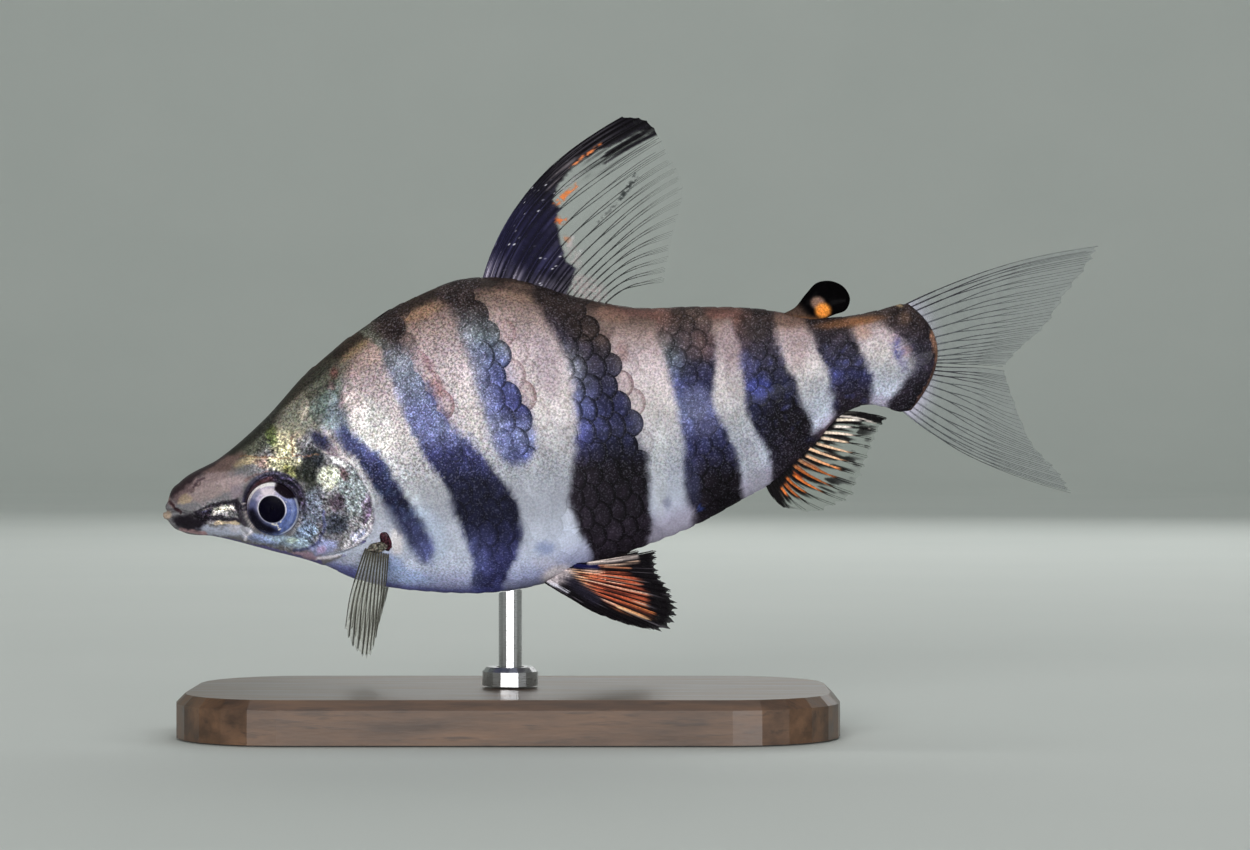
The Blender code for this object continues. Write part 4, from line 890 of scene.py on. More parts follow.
def head_relief(s, h, out):
    """How far the skin stands out of the plain body: orbits, gill covers, lips, nostrils and folds."""
    rise = np.zeros(len(s))
    cover = inside(s, h, COVER_OUTLINE)
    freed = np.clip((s - COVER_FRONT[1][0]) / COVER_FREED_OVER, 0, 1)
    rise += COVER_RISE * freed * smoothstep(-0.12, 0.30, cover) * smoothstep(0, 2, out)
    rise += 0.10 * fall(0.3, 0.9, np.abs(cover - 0.75)) * freed
    fold = path_distance(s, h, [(19.2, 1.0), (18.2, -2.0), (17.7, -5.0), (16.8, -7.0), (14.5, -7.7)])
    rise -= 0.10 * fall(0.1, 0.55, fold)
    suture = path_distance(s, h, [(17.4, 9.6), (17.6, 7.4), (18.2, 5.2), (20.4, 5.2)])
    rise -= 0.06 * fall(0.05, 0.3, suture)
    reach = np.hypot(s - EYE_CENTRE[0], h - EYE_CENTRE[1])
    rise += 0.26 * np.exp(-(((reach - 4.0) / 0.36) ** 2))
    rise -= 0.12 * np.exp(-(((reach - 4.75) / 0.35) ** 2))
    rise -= 2.1 * fall(3.25, 3.72, reach)
    mouth = path_distance(s, h, JAW_LINE)
    side = smoothstep(0.0, 0.4, s)
    rise -= 0.30 * fall(0.05, 0.32, mouth) * fall(3.4, 4.6, s) * side
    for height, thick in (UPPER_LIP, LOWER_LIP):
        rounded = np.sqrt(np.clip(1 - ((h - height) / thick) ** 2, 0, 1))
        rise += 0.24 * rounded * fall(MOUTH_CORNER - 0.6, MOUTH_CORNER + 0.8, s)
    for place, height, radius in NOSTRILS:
        reach = np.hypot(s - place, h - height)
        rise -= 0.55 * np.exp(-((reach / (0.75 * radius)) ** 2))
        rise += 0.10 * np.exp(-(((reach - 1.35 * radius) / (0.4 * radius)) ** 2))
    cheek = path_distance(s, h, [(9.6, -3.2), (7.0, -2.4), (5.0, -2.2)])
    rise -= 0.07 * fall(0.1, 0.5, cheek)
    return rise


def build_skin(material):
    head_s = np.linspace(0.68, SKIN_HEAD_END, SKIN_STEPS_HEAD)
    body_s = np.linspace(SKIN_HEAD_END, TAIL_END, SKIN_STEPS_BODY)[1:]
    stations = np.concatenate([SNOUT_STEPS, head_s, body_s])
    turn = 2 * math.pi * np.arange(SKIN_AROUND) / SKIN_AROUND - math.pi / 2
    angles = turn - SKIN_EVENING * np.sin(2 * turn)
    grid = section_point(stations[:, None], angles[None, :])
    s, h, y = np.moveaxis(grid, -1, 0)
    slope = np.gradient(grid, axis=0)
    round_ = np.roll(grid, -1, axis=1) - np.roll(grid, 1, axis=1)
    normal = unit(np.cross(slope, round_))
    ring = grid[len(stations) // 2]
    outward = np.sum(normal[len(stations) // 2] * (ring - ring.mean(axis=0)), axis=-1).sum()
    normal *= np.sign(outward)
    rise = -COAT_DEPTH * smoothstep(-0.2, 1.6, s - head_edge(h))
    near_head = stations < RELIEF_END
    flat_s, flat_h, flat_y = grid[near_head].reshape(-1, 3).T
    rise[near_head] += head_relief(flat_s, flat_h, np.abs(flat_y)).reshape(-1, SKIN_AROUND)
    grid = grid + normal * rise[..., None]

    middle = grid[0].mean(axis=0)
    snout = [middle + (grid[0] - middle) * share + (along, 0, 0) for along, share in SNOUT_RINGS]
    tail = [grid[-1] * (1, 1, share) + (along, 0, 0) for along, share in TAIL_RINGS]
    points = np.concatenate([snout, grid, tail]).reshape(-1, 3)
    rows = len(points) // SKIN_AROUND

    past_tail = TAIL_END + np.array([0.3, 0.6, 0.9])
    place = (np.concatenate([[-0.6, -0.4, -0.2], stations, past_tail]) + MAP_START) / MAP_LENGTH
    r, c = np.divmod(np.arange((rows - 1) * SKIN_AROUND), SKIN_AROUND)
    corners = [(r, c), (r, c + 1), (r + 1, c + 1), (r + 1, c)]
    uv = np.stack([np.stack([place[i], j / SKIN_AROUND], axis=-1) for i, j in corners], axis=1).reshape(-1, 2)
    lid = np.stack([np.cos(turn), np.sin(turn)], axis=-1) * LID_MAP_RADIUS
    uv = np.concatenate([uv, lid[::-1] + LID_MAP_PLACES[0], lid + LID_MAP_PLACES[1]])

    s, h, y = points.T
    out = np.abs(y)
    body_rgb, body_finish_and_glints = body_paint(s, h, out)
    head_rgb, head_finish_and_glints = head_paint(s, h, out)
    is_head = fall(-0.25, 0.15, s - head_edge(h))
    nape = smoothstep(4.5, 8, h) * smoothstep(15.5, 19, s)
    mix = (is_head * (1 - nape))[:, None]
    rgb = body_rgb + (head_rgb - body_rgb) * mix
    finish_and_glints = body_finish_and_glints + (head_finish_and_glints - body_finish_and_glints) * mix
    faces = tube_faces(rows, SKIN_AROUND)
    skin = make_piece("skin", points, faces, material, rgb, finish_and_glints, uv=uv)
    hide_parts("head", "lower_jaw", "gill_cover_left", "gill_cover_right", "trunk", "tail_stalk")


# Scales

TABLE_START = 14.0
TABLE_STEP = 0.25
TABLE_ANGLES = 181


def flank_table():
    """The right flank from belly to back at close stations: points, normals and arc from the lateral line."""
    stations = np.arange(TABLE_START, TAIL_END + TABLE_STEP / 2, TABLE_STEP)
    angles = np.linspace(-math.pi / 2, math.pi / 2, TABLE_ANGLES)
    grid = section_point(stations[:, None], angles[None, :])
    steps = np.linalg.norm(np.diff(grid, axis=1)[..., 1:], axis=-1)
    arc = np.concatenate([np.zeros((len(stations), 1)), np.cumsum(steps, axis=1)], axis=1)
    for i, s in enumerate(stations):
        arc[i] -= np.interp(lateral_line(s), grid[i, :, 1], arc[i])
    slope, round_ = np.gradient(grid, axis=0), np.gradient(grid, axis=1)
    normal = unit(np.cross(round_, slope))
    normal *= np.where(normal[:, TABLE_ANGLES // 2, 2] < 0, -1, 1)[:, None, None]
    return stations, grid, normal, arc, angles


def on_flank(table, s, w):
    """Points, normals and angles at stations s and arcs w from the lateral line."""
    stations, grid, normal, arc, angles = table
    place = np.clip((s - stations[0]) / TABLE_STEP, 0, len(stations) - 1.001)
    i = place.astype(int)
    f = (place - i)[:, None]
    rows = arc[i] * (1 - f) + arc[i + 1] * f
    j = np.clip((rows < w[:, None]).sum(axis=1) - 1, 0, TABLE_ANGLES - 2)
    pick = np.arange(len(s))
    g = np.clip((w - rows[pick, j]) / (rows[pick, j + 1] - rows[pick, j]), 0, 1)[:, None]

    def mixed(values):
        low = values[i, j] * (1 - f) + values[i + 1, j] * f
        high = values[i, j + 1] * (1 - f) + values[i + 1, j + 1] * f
        return low * (1 - g) + high * g

    return mixed(grid), unit(mixed(normal)), (angles[j] + g[:, 0] * (angles[j + 1] - angles[j]))


def scale_roots(table, generator):
    """Places (station, arc, row height) of the scales' roots, in rows that run along the body."""
    roots = []
    stations, grid, _, arc, _ = table
    for row in range(-SCALE_ROWS, SCALE_ROWS + 1):
        for column in range(SCALES_IN_ROW):
            s = FIRST_SCALE + (column + 0.5 * (row % 2)) * SCALE_STEP + generator.normal(0, ROOT_JITTER)
            if s > TAIL_END - ROOM_AT_TAIL:
                continue
            step = float(row_step(s))
            w = row * step + generator.normal(0, ROOT_JITTER)
            i = min(int((s - stations[0]) / TABLE_STEP), len(stations) - 1)
            if not arc[i, 0] + ROOM_AT_KEEL * step < w < arc[i, -1] - ROOM_AT_KEEL * step:
                continue
            h = float(np.interp(w, arc[i], grid[i, :, 1]))
            if s < float(head_edge(h)) - UNDER_HEAD:
                continue
            roots.append((s, w, step))
    return np.array(roots)


def build_coat(name, side, material):
    """The scales of one flank, as closed thin plates whose rear edges lie over the next ones."""
    generator = np.random.default_rng(SEED + (0 if side < 0 else 1))
    table = flank_table()
    roots = scale_roots(table, generator)
    across = np.sin(math.pi / 2 * np.linspace(-1, 1, SCALE_COLUMNS))
    p, q = [a.ravel() for a in np.meshgrid(SCALE_ALONG, across, indexing="ij")]
    count = len(p)

    rear = 1 - 0.46 * (1 - np.sqrt(1 - 0.97 * q**2))
    shape_a = p * rear
    shape_b = q * (0.78 + 0.22 * p)
    s0, w0, step = roots.T
    jitter = generator.normal(0, 1, (len(roots), 3))
    length = SCALE_LENGTH * (0.62 + 0.38 * step / WIDEST_ROW) * (1 + SCALE_JITTER * jitter[:, 0])
    length = np.minimum(length, TAIL_END - 0.1 - s0)
    s = s0[:, None] + shape_a[None] * length[:, None]
    half_widths = SCALE_HALF_WIDTH * step * (1 + SCALE_JITTER * jitter[:, 1])
    w = w0[:, None] + shape_b[None] * half_widths[:, None]
    points, normals, _ = on_flank(table, s.ravel(), w.ravel())
    _, _, root_angles = on_flank(table, s0, w0)
    lift = SCALE_LIFT[0] + (SCALE_LIFT[1] - SCALE_LIFT[0]) * p**1.2 + SCALE_DOME * (1 - q**2) * p
    lift = (lift[None] + LIFT_JITTER * jitter[:, 2:3]).reshape(-1, 1)
    top = (points + normals * lift).reshape(-1, count, 3)
    low = (points + normals * (lift - SCALE_THICKNESS)).reshape(-1, count, 3)

    centre_points, _, _ = on_flank(table, s0 + TONE_PLACE * length, w0)
    centre = [np.repeat(place, count) for place in photo_place(*centre_points.T)]
    rim = np.maximum(smoothstep(0.80, 0.97, p), smoothstep(0.86, 0.99, np.abs(q)) * smoothstep(0.3, 0.6, p))
    rgb, finish_and_glints = body_paint(*top.reshape(-1, 3).T, centre, np.tile(rim, len(roots)))
    rgb = rgb * np.repeat(1 + SCALE_JITTER * jitter[:, 0], count)[:, None]

    plate = plate_faces(len(SCALE_ALONG), SCALE_COLUMNS)
    if side > 0:
        plate = plate[:, ::-1]
    shifts = np.arange(len(roots)) * 2 * count
    faces = (plate[None] + shifts[:, None, None]).reshape(-1, 4)
    both = np.concatenate([top, low], axis=1).reshape(-1, 3)
    both[:, 2] *= side
    paint, finish_and_glints = [
        np.concatenate([values.reshape(-1, count, 3)] * 2, axis=1).reshape(-1, 3) for values in (rgb, finish_and_glints)
    ]

    turn = (root_angles + math.pi / 2) / (2 * math.pi)
    centre_u = (s0 + 0.5 * length + MAP_START) / MAP_LENGTH
    centre_v = turn if side > 0 else 1 - turn
    patch = np.stack([(p - 0.5) * PATCH, q * 0.5 * PATCH], axis=-1)
    patch = np.concatenate([patch, patch * 0.9])
    vertex_uv = np.stack([centre_u, centre_v], axis=-1)[:, None] + patch[None]
    uv = vertex_uv.reshape(-1, 2)[faces.ravel()]
    make_piece(name, both, faces.tolist(), material, paint, finish_and_glints, uv=uv, crease=40)


# Eyes

def skin_frame(s, h, side):
    """Unit axes on the flank at (s, h): along the body, up the flank, and out of the skin."""
    step = 0.5
    along = np.array([2 * step, 0, side * (flank(s + step, h) - flank(s - step, h))], float)
    up = np.array([0, 2 * step, side * (flank(s, h + step) - flank(s, h - step))], float)
    out = np.cross(along, up)
    out *= math.copysign(1, out[2] * side)
    along /= np.linalg.norm(along)
    out /= np.linalg.norm(out)
    return along, np.cross(out, along), out


PUPIL_SHIFT = (0.40, 0.26)  # tailwards and up from the eyeball's middle
PUPIL = 1.70
PUPIL_RING = 1.92
IRIS = 3.46
IRIS_SINK = 0.22
RING_RISE = 0.08
EYE_RINGS = np.concatenate([  # distances from the pupil's middle; the last three lie behind
    np.linspace(0, 1.5, 12), np.linspace(1.56, 2.1, 12), np.linspace(2.2, 3.55, 22), [3.6, 3.4, 2.4, 1.0],
])
# Dark places over the iris, right and up from the pupil's middle in the photo: outline, tone, softness. The
# first is a painted shadow of the brow over the upper iris, the second a dark sector low in front.
EYE_SHADE = [
    ([(-0.14, 2.52), (0.45, 2.25), (1.1, 1.9), (1.7, 1.5), (2.2, 1.2), (2.9, 1.15), (3.6, 1.5), (2.9, 3.4),
      (1.3, 4.1), (-0.14, 3.9)], (20, 13, 20), 0.10),
    ([(-3.3, -0.5), (-3.0, -1.7), (-2.4, -2.6), (-0.9, -3.2), (0.3, -3.0), (-0.3, -2.3), (-1.25, -1.7),
      (-2.0, -0.8), (-2.5, -0.3)], (13, 11, 24), 0.42),
]
EYE_SPARKS = [  # places and radii of white specks below the pupil
    (-0.34, -1.90, 0.17), (-0.20, -2.02, 0.12), (0.03, -2.10, 0.16), (0.20, -2.26, 0.10),
    (0.58, -1.86, 0.12), (0.30, -2.48, 0.10), (0.38, -2.72, 0.15), (0.12, -1.92, 0.09), (2.0, 0.7, 0.06),
    (1.9, -1.2, 0.06), (2.5, -0.7, 0.05),
]


def eye_paint(reach, degrees):
    """Colours by distance from the pupil's middle and by angle in the photo, with 0 tailwards and 90 up."""
    warm = 0.5 + 0.5 * np.cos(np.radians(degrees - 128))
    rgb = blend(plain((92, 108, 162), len(reach)), (190, 178, 198), warm**1.3)
    rgb = rgb * (1 + 0.15 * noise(degrees, reach * 8, 7, 12))[:, None]
    across, up = reach * np.cos(np.radians(degrees)), reach * np.sin(np.radians(degrees))

    def sector(middle, half):
        away = np.abs((degrees - middle + 180) % 360 - 180)
        return fall(half - 9, half + 9, away)

    def band(middle, half):
        return fall(0.4 * half, half, np.abs(reach - middle))

    fine = 1 + 0.16 * noise(across, up, 0.16, 28) + 0.12 * noise(degrees, reach * 30, 3, 29)
    rgb = blend(rgb * fine[:, None], (232, 220, 226), 0.75 * sector(116, 24) * band(2.35, 0.6))
    rgb = blend(rgb, (112, 122, 152), 0.55 * sector(160, 20) * band(2.75, 0.45))
    rgb = blend(rgb, (66, 72, 118), 0.65 * sector(185, 18) * band(2.6, 0.7))
    rgb = blend(rgb, (150, 164, 208), 0.45 * sector(350, 50) * band(2.75, 0.3))
    rgb = blend(rgb, (214, 220, 238), 0.85 * sector(334, 56) * band(3.36, 0.16))
    # Dark places over the iris; the first is a painted shadow of the brow.
    for outline, tone, soft in EYE_SHADE:
        rgb = blend(rgb, tone, 0.97 * smoothstep(-soft, soft, inside(across, up, outline)))
    # Painted highlights: white arcs on the upper rim of the iris.
    rgb = blend(rgb, (255, 253, 252), sector(112, 20) * band(3.24, 0.34))
    rgb = blend(rgb, (250, 244, 244), sector(146, 26) * band(3.30, 0.22))
    # A dark ring beyond the iris, with painted shadow of the brow that darkens it most above.
    edge = 0.95 * smoothstep(IRIS - 0.05, IRIS + 0.1, reach)
    rgb = blend(rgb, (36, 28, 38), edge * (0.25 + 0.75 * sector(95, 100)))
    for right, above, radius in EYE_SPARKS:
        away = np.hypot(across - right, up - above)
        rgb = blend(rgb, (252, 244, 226), 0.95 * fall(0.5 * radius, 1.1 * radius, away))
    ring = 0.55 + 0.45 * np.maximum(sector(160, 50), sector(10, 50))
    rgb = blend(rgb, (236, 232, 242), ring * fall(PUPIL_RING - 0.05, PUPIL_RING + 0.05, reach))
    return blend(rgb, (2, 1, 16), fall(PUPIL + 0.02, PUPIL + 0.12, reach))


def revolve(centre, axes, reach, depth):
    """Rings of points about the third axis, with the reach and the depth of each point."""
    angle = 2 * math.pi * np.arange(EYE_TURNS) / EYE_TURNS
    r, a = np.meshgrid(reach, angle, indexing="ij")
    d = np.broadcast_to(depth[:, None], r.shape)
    along, up = (r * np.cos(a))[..., None] * axes[0], (r * np.sin(a))[..., None] * axes[1]
    return centre + along + up + d[..., None] * axes[2], r, d


def round_faces(rows, rear_pole):
    """The faces over rings whose first ring is a single point, and the last too if there is a rear pole.

    Returns them with a mask of the points to keep, which is one for each pole.
    """
    turns, end = EYE_TURNS, (rows - 1) * EYE_TURNS
    used = np.ones(rows * turns, bool)
    used[1:turns] = False
    faces = grid_faces(rows, turns, closed=True)[turns:].tolist()
    if rear_pole:
        used[end + 1:] = False
        faces = faces[:-turns]
    faces += [(0, turns + (c + 1) % turns, turns + c)[::-1] for c in range(turns)]
    if rear_pole:
        faces += [(end, end - turns + c, end - turns + (c + 1) % turns)[::-1] for c in range(turns)]
    else:
        faces.append(range(end, end + turns))
    index = np.cumsum(used) - 1
    return [[int(index[i]) for i in face] for face in faces], used


def build_eye(word, side, eye_material, cornea_material):
    s, h = EYE_CENTRE
    axes = skin_frame(s, h, side)
    centre = np.array([s, h, side * float(flank(s, h))]) + axes[2] * (EYE_BULGE - EYE_HALF_DEPTH)
    reach = EYE_RINGS
    depth = EYE_HALF_DEPTH * np.sqrt(np.clip(1 - (reach / EYE_RADIUS) ** 2, 0, 1))
    depth[-3:] *= -1
    iris = smoothstep(PUPIL, PUPIL + 0.25, reach) * fall(3.2, 3.55, reach) * (depth > 0)
    depth = depth - IRIS_SINK * iris + RING_RISE * np.exp(-(((reach - PUPIL_RING) / 0.12) ** 2)) * iris
    points, r, d = revolve(centre, axes, reach, depth)
    shift = np.array([*PUPIL_SHIFT, 0])
    points = points + shift * (np.clip(1 - (r / 3.3) ** 2, 0, 1) * (d > 0))[..., None]
    points = points.reshape(-1, 3)
    turned = points - centre
    turned = np.degrees(np.arctan2(turned[:, 1] - shift[1], turned[:, 0] - shift[0]) + PITCH) % 360
    faces, used = round_faces(len(reach), False)
    rgb = eye_paint(r.ravel(), turned)[used]
    ball = make_piece(f"eyeball_{word}", points[used], faces, eye_material, rgb)
    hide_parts(f"eye_{word}")

    reach = np.linspace(0, CORNEA_RADIUS, 18)
    depth = EYE_HALF_DEPTH * np.sqrt(1 - (reach / EYE_RADIUS) ** 2) + CORNEA_GAP
    reach, depth = np.append(reach, reach[::-1]), np.append(depth, depth[::-1] - CORNEA_THICKNESS)
    points, _, _ = revolve(centre, axes, reach, depth)
    faces, used = round_faces(len(reach), True)
    make_piece(f"cornea_{word}", points.reshape(-1, 3)[used], faces, cornea_material)


# Fins

def interpolate_guides(guides, shares):
    """Guide rays, each three points, interpolated smoothly at the given shares of the fin."""
    places = np.linspace(0, 1, len(guides))
    flat = np.array(guides, float).reshape(len(guides), 9)
    lines = [smooth_line(list(zip(places, flat[:, k]))) for k in range(9)]
    values = np.stack([line(np.asarray(shares)) for line in lines], axis=-1)
    return values.reshape(*np.shape(shares), 3, 3)


def fin_point(guides, share, t):
    """Points of a fin at shares across it and at t along its rays."""
    ends = interpolate_guides(guides, share)
    t = np.asarray(t)[..., None]
    return ends[..., 0, :] * (1 - t) ** 2 + ends[..., 1, :] * 2 * t * (1 - t) + ends[..., 2, :] * t * t


def placed_guides(guides, side, swing):
    """Guides of a paired fin for one side. The right fin's bends and tips swing by shares of their reach."""
    swing = np.array(swing if side > 0 else (0.0, 0.0, 0.0))
    start = np.array(guides[0][0])
    placed = []
    for guide in guides:
        points = [np.array(guide[0])]
        for point in guide[1:]:
            points.append(np.array(point) + swing * math.dist(point, start))
        placed.append([(s, h, side * y) for s, h, y in points])
    return placed


def ray_spacing(rays):
    """The distance between rays, as a share of the fin."""
    return 1 / (rays - 1 + 2 * RAY_INSET)


def ray_paths(form):
    """Lines of a fin's rays as (shares, t, level of forking, ray): each ray forks towards its tip."""
    rays, forks, spread = form["rays"], form["forks"], form["spread"]
    spacing = ray_spacing(rays)
    generator = np.random.default_rng(form["seed"])
    lines = []
    for ray in range(rays):
        middle = (ray + RAY_INSET) * spacing
        reach = 1 - abs(generator.normal(0, form["ragged"]))
        levels = [0.0, *forks, 1.0]
        unforked = ray < form.get("plain_rays", 1)
        for level, (start, end) in enumerate(zip(levels[:-1], levels[1:])):
            branches = 1 if unforked else 2**level
            for branch in range(branches):
                t = np.linspace(max(0.0, start - FORK_OVERLAP), end, form["steps"])
                low = high = 0.0
                if branches > 1:
                    low = (branch // 2 - (branches / 2 - 1) / 2) / (branches / 2)
                    high = (branch - (branches - 1) / 2) / branches
                open_ = smoothstep(start, min(1.0, start + 0.25), t)
                offset = (low + (high - low) * open_) * spread * spacing
                offset = offset + form.get("wave", 0) * spacing * np.sin(7.5 * t + 0.5 * ray) * t
                tip = reach * (1 - 0.02 * abs(generator.normal(0, 1)) * (end == 1.0))
                lines.append((np.clip(middle + offset, 0, 1), t * tip, level, ray))
    return lines


def build_rays(name, guides, form, material, paint):
    """The rays of a fin, as forked tubes that are paler or darker along the middle."""
    points, faces, colours, alphas = [], [], [], []
    turn = 2 * math.pi * np.arange(RAY_SIDES) / RAY_SIDES
    for shares, t, level, ray in ray_paths(form):
        centre = fin_point(guides, shares, t)
        after, before = [fin_point(guides, np.clip(shares + step, 0, 1), t) for step in (0.01, -0.01)]
        beside = after - before
        forward = unit(np.gradient(centre, axis=0))
        across = unit(beside - forward * np.sum(beside * forward, axis=1, keepdims=True))
        normal = np.cross(forward, across)
        radius = form["radius"] * (0.72**level) * (1 - form["taper"] * t)
        joints = 1 + 0.10 * np.sin(t * form["joints"] * 2 * math.pi)
        flat = np.cos(turn)[None, :, None] * across[:, None] * form["flat"]
        ring = flat + np.sin(turn)[None, :, None] * normal[:, None]
        tube = centre[:, None] + ring * (radius * joints)[:, None, None]
        faces += tube_faces(len(t), RAY_SIDES, sum(map(len, points)))
        points.append(tube.reshape(-1, 3))
        rgb, alpha = paint(centre, shares, t, ray, 0.0)
        core = 1 + form["core"] * (0.6 - np.abs(np.cos(turn)))
        colours.append((rgb[:, None] * core[None, :, None]).reshape(-1, 3))
        alphas.append(np.repeat(alpha, RAY_SIDES))
    points, colours, alphas = [np.concatenate(values) for values in (points, colours, alphas)]
    return make_piece(name, points, faces, material, colours, alpha=alphas)


def build_membrane(name, guides, form, material, paint):
    """The web of a fin, a thin closed sheet whose free edge is notched between the rays."""
    rows, rays = form.get("web_rows", WEB_ROWS), form["rays"]
    columns = (rays - 1) * WEB_STEPS + 1
    shares = (RAY_INSET + np.linspace(0, rays - 1, columns)) * ray_spacing(rays)
    phase = (np.arange(columns) % WEB_STEPS) / WEB_STEPS
    between = np.sin(math.pi * phase)
    rough = noise(np.arange(columns) * 1.0, np.full(columns, form["seed"] * 7.0), 1.7, 13)
    reach = 1 - form["notch"] * between - form["ragged"] * 0.8 * np.abs(rough)
    t = np.linspace(0, 1, rows)[:, None] * reach[None]
    shares = np.broadcast_to(shares, t.shape)
    middle = fin_point(guides, shares, t)
    normal = unit(np.cross(np.gradient(middle, axis=0), np.gradient(middle, axis=1)))
    ripple = WEB_RIPPLE * np.sin(2 * math.pi * phase)[None] * t
    middle = middle + normal * ripple[..., None]
    sheets = [(middle + normal * half).reshape(-1, 3) for half in (WEB_HALF_THICKNESS, -WEB_HALF_THICKNESS)]
    rgb, alpha = paint(middle.reshape(-1, 3), shares.ravel(), t.ravel(), None, np.tile(between, rows))
    points, faces = np.concatenate(sheets), plate_faces(rows, columns).tolist()
    return make_piece(name, points, faces, material, np.tile(rgb, (2, 1)), alpha=np.tile(alpha, 2))


def fin_place(points):
    return photo_place(points[:, 0], points[:, 1], np.abs(points[:, 2]))


DORSAL_BLACK = [
    (468, 286), (472, 270), (490, 228), (520, 188), (557, 149), (589, 120), (613, 106), (632, 101),
    (655, 103), (666, 126), (648, 134), (626, 149), (606, 159), (598, 150), (574, 166), (560, 182),
    (552, 199), (560, 209), (555, 217), (558, 228), (560, 241), (566, 262), (576, 269), (571, 281),
    (567, 296), (500, 300),
]
DORSAL_MARKS = [  # path, width, colour, strength
    ([(571, 167), (585, 155), (600, 144)], 1.5, (236, 134, 76), 0.95),
    ([(557, 203), (567, 193), (577, 185)], 3.2, (226, 122, 58), 0.9),
    # a painted highlight: a whitish sparkle across the rays
    ([(560, 192), (574, 178), (588, 168)], 2.0, (196, 190, 194), 0.5),
    ([(566, 250), (573, 238)], 3.4, (206, 196, 196), 0.6),
    ([(572, 262), (582, 250)], 2.4, (196, 190, 192), 0.45),
    ([(620, 198), (629, 186), (637, 174)], 3.0, (40, 44, 44), 0.85),
    ([(598, 222), (608, 212), (616, 203)], 1.6, (60, 62, 62), 0.6),
]
DORSAL_BAND = [(547, 186), (562, 170), (580, 158), (600, 148)]  # paler, along the border near the tip
DORSAL_SMOKE = [(616, 152, 46, 15, -32, 1.0), (646, 132, 18, 10, -30, 1.0)]
DORSAL_FLESH = [(587, 288, 24, 13, 26, 1.0), (574, 256, 7, 18, -22, 0.7)]
DORSAL_SPOTS = [(561, 220, 7, 5, 0, 0.9), (566, 239, 4, 4.5, 0, 0.55)]


def dorsal_paint(points, shares, t, ray, between):
    """Black in front with violet streaks, and clear behind, with orange and smoky marks at the border."""
    u, v = fin_place(points)
    raw_u = u
    u = u + 1.5 * noise(u, v, 4, 14)
    streak = noise(shares * 70, t * 2.5, 1.0, 39)
    streaky = 13 * streak * smoothstep(588, 612, u) * smoothstep(120, 132, v)
    black = smoothstep(-2.5, 2.0, inside(u, v, DORSAL_BLACK) + streaky)
    line = np.ones(len(u)) if ray is not None else smoothstep(0.75, 1.0, between)
    rgb = plain((56, 58, 58) if ray is not None else (150, 156, 154), len(u))
    alpha = np.full(len(u), 0.9) if ray is not None else np.full(len(u), 0.10)
    outer = smoothstep(612, 672, u + 10 * noise(shares * 40, t * 2, 1.0, 31))
    alpha = alpha * (1 - 0.82 * outer * (1 - black))
    rgb = blend(rgb, (12, 10, 14), black)
    rgb = blend(rgb, (36, 33, 42), 0.5 * black * line)
    blue = black * smoothstep(170, 225, v) * (1 - 0.6 * smoothstep(262, 285, v))
    rgb = blend(rgb, (19, 17, 36), 0.9 * blue)
    rgb = blend(rgb, (44, 42, 80), 0.3 * blue * line)
    fine = smoothstep(0.3, 0.9, noise(shares * 230, t * 5, 1.0, 30))
    rgb = blend(rgb, (86, 84, 128), 0.4 * blue * fine)
    upper = black * smoothstep(540, 570, u) * fall(600, 630, u)
    rgb = blend(rgb, (84, 80, 86), 0.55 * upper * line)
    above = 276 + 0.17 * (u - 482) - v
    base = black * fall(2, np.maximum(36 - 0.36 * (u - 490), 12), above)
    base = base * (1 - 0.55 * smoothstep(505, 540, u)) * fall(556, 576, u)
    pale = 0.3 * line + 0.7 * smoothstep(-0.2, 0.6, noise(shares * 90, t * 3, 1.0, 41))
    rgb = blend(rgb, (202, 192, 210), 0.8 * base * pale)
    smoke = strongest(u, v, DORSAL_SMOKE) * (1 - black)
    smoke = smoke * (0.25 + 0.75 * smoothstep(-0.3, 0.4, noise(shares * 110, t * 5, 1.0, 22)))
    rgb = blend(rgb, (36, 38, 38), 0.9 * smoke)
    alpha = np.maximum(alpha, (0.95 if ray is not None else 0.5) * smoke)
    speckled = smoothstep(-0.6, 0.2, noise(raw_u, v, 2.0, 23))
    for path, width, colour, strength in DORSAL_MARKS:
        near = strength * speckled * fall(0.4 * width, 1.2 * width, path_distance(u, v, path))
        rgb = blend(rgb, colour, near)
        alpha = np.maximum(alpha, near)
    for *place, strength in DORSAL_SPOTS:
        near = strength * speckled * patch_mask(u, v, place)
        rgb = blend(rgb, (226, 116, 56), near)
        alpha = np.maximum(alpha, near)
    alpha = np.maximum(alpha, 0.97 * black)
    # Painted glints: white specks on the black part.
    spark = black * smoothstep(0.86, 0.93, noise(raw_u, v, 1.35, 24)) * smoothstep(150, 190, v)
    rgb = blend(rgb, (236, 234, 246), (0.3 if ray is not None else 0.95) * spark)
    band = fall(2.5, 6.5, path_distance(u, v, DORSAL_BAND))
    band = band * smoothstep(-0.2, 0.6, noise(shares * 80, t * 9, 1.0, 40))
    rgb = blend(rgb, (150, 140, 144), 0.55 * band)
    alpha = np.maximum(alpha, 0.6 * band)
    flesh = strongest(raw_u, v, DORSAL_FLESH)
    flesh = flesh * smoothstep(-0.9, 0.5, noise(raw_u, v, 1.8, 32)) * (1 - black)
    rgb = blend(rgb, (192, 172, 172), 0.6 * flesh)
    alpha = np.maximum(alpha, 0.62 * flesh)
    foot = fall(0.0, 0.10, t) * (1 - black)
    rgb = blend(rgb, (150, 126, 124), 0.55 * foot)
    return rgb, np.maximum(alpha, 0.7 * foot)


ANAL_LINES = [  # two whitish rays at the top
    [(836, 416), (848, 416.5), (862, 419), (876, 423.5)], [(838, 424), (850, 423), (862, 425), (870, 428)],
]


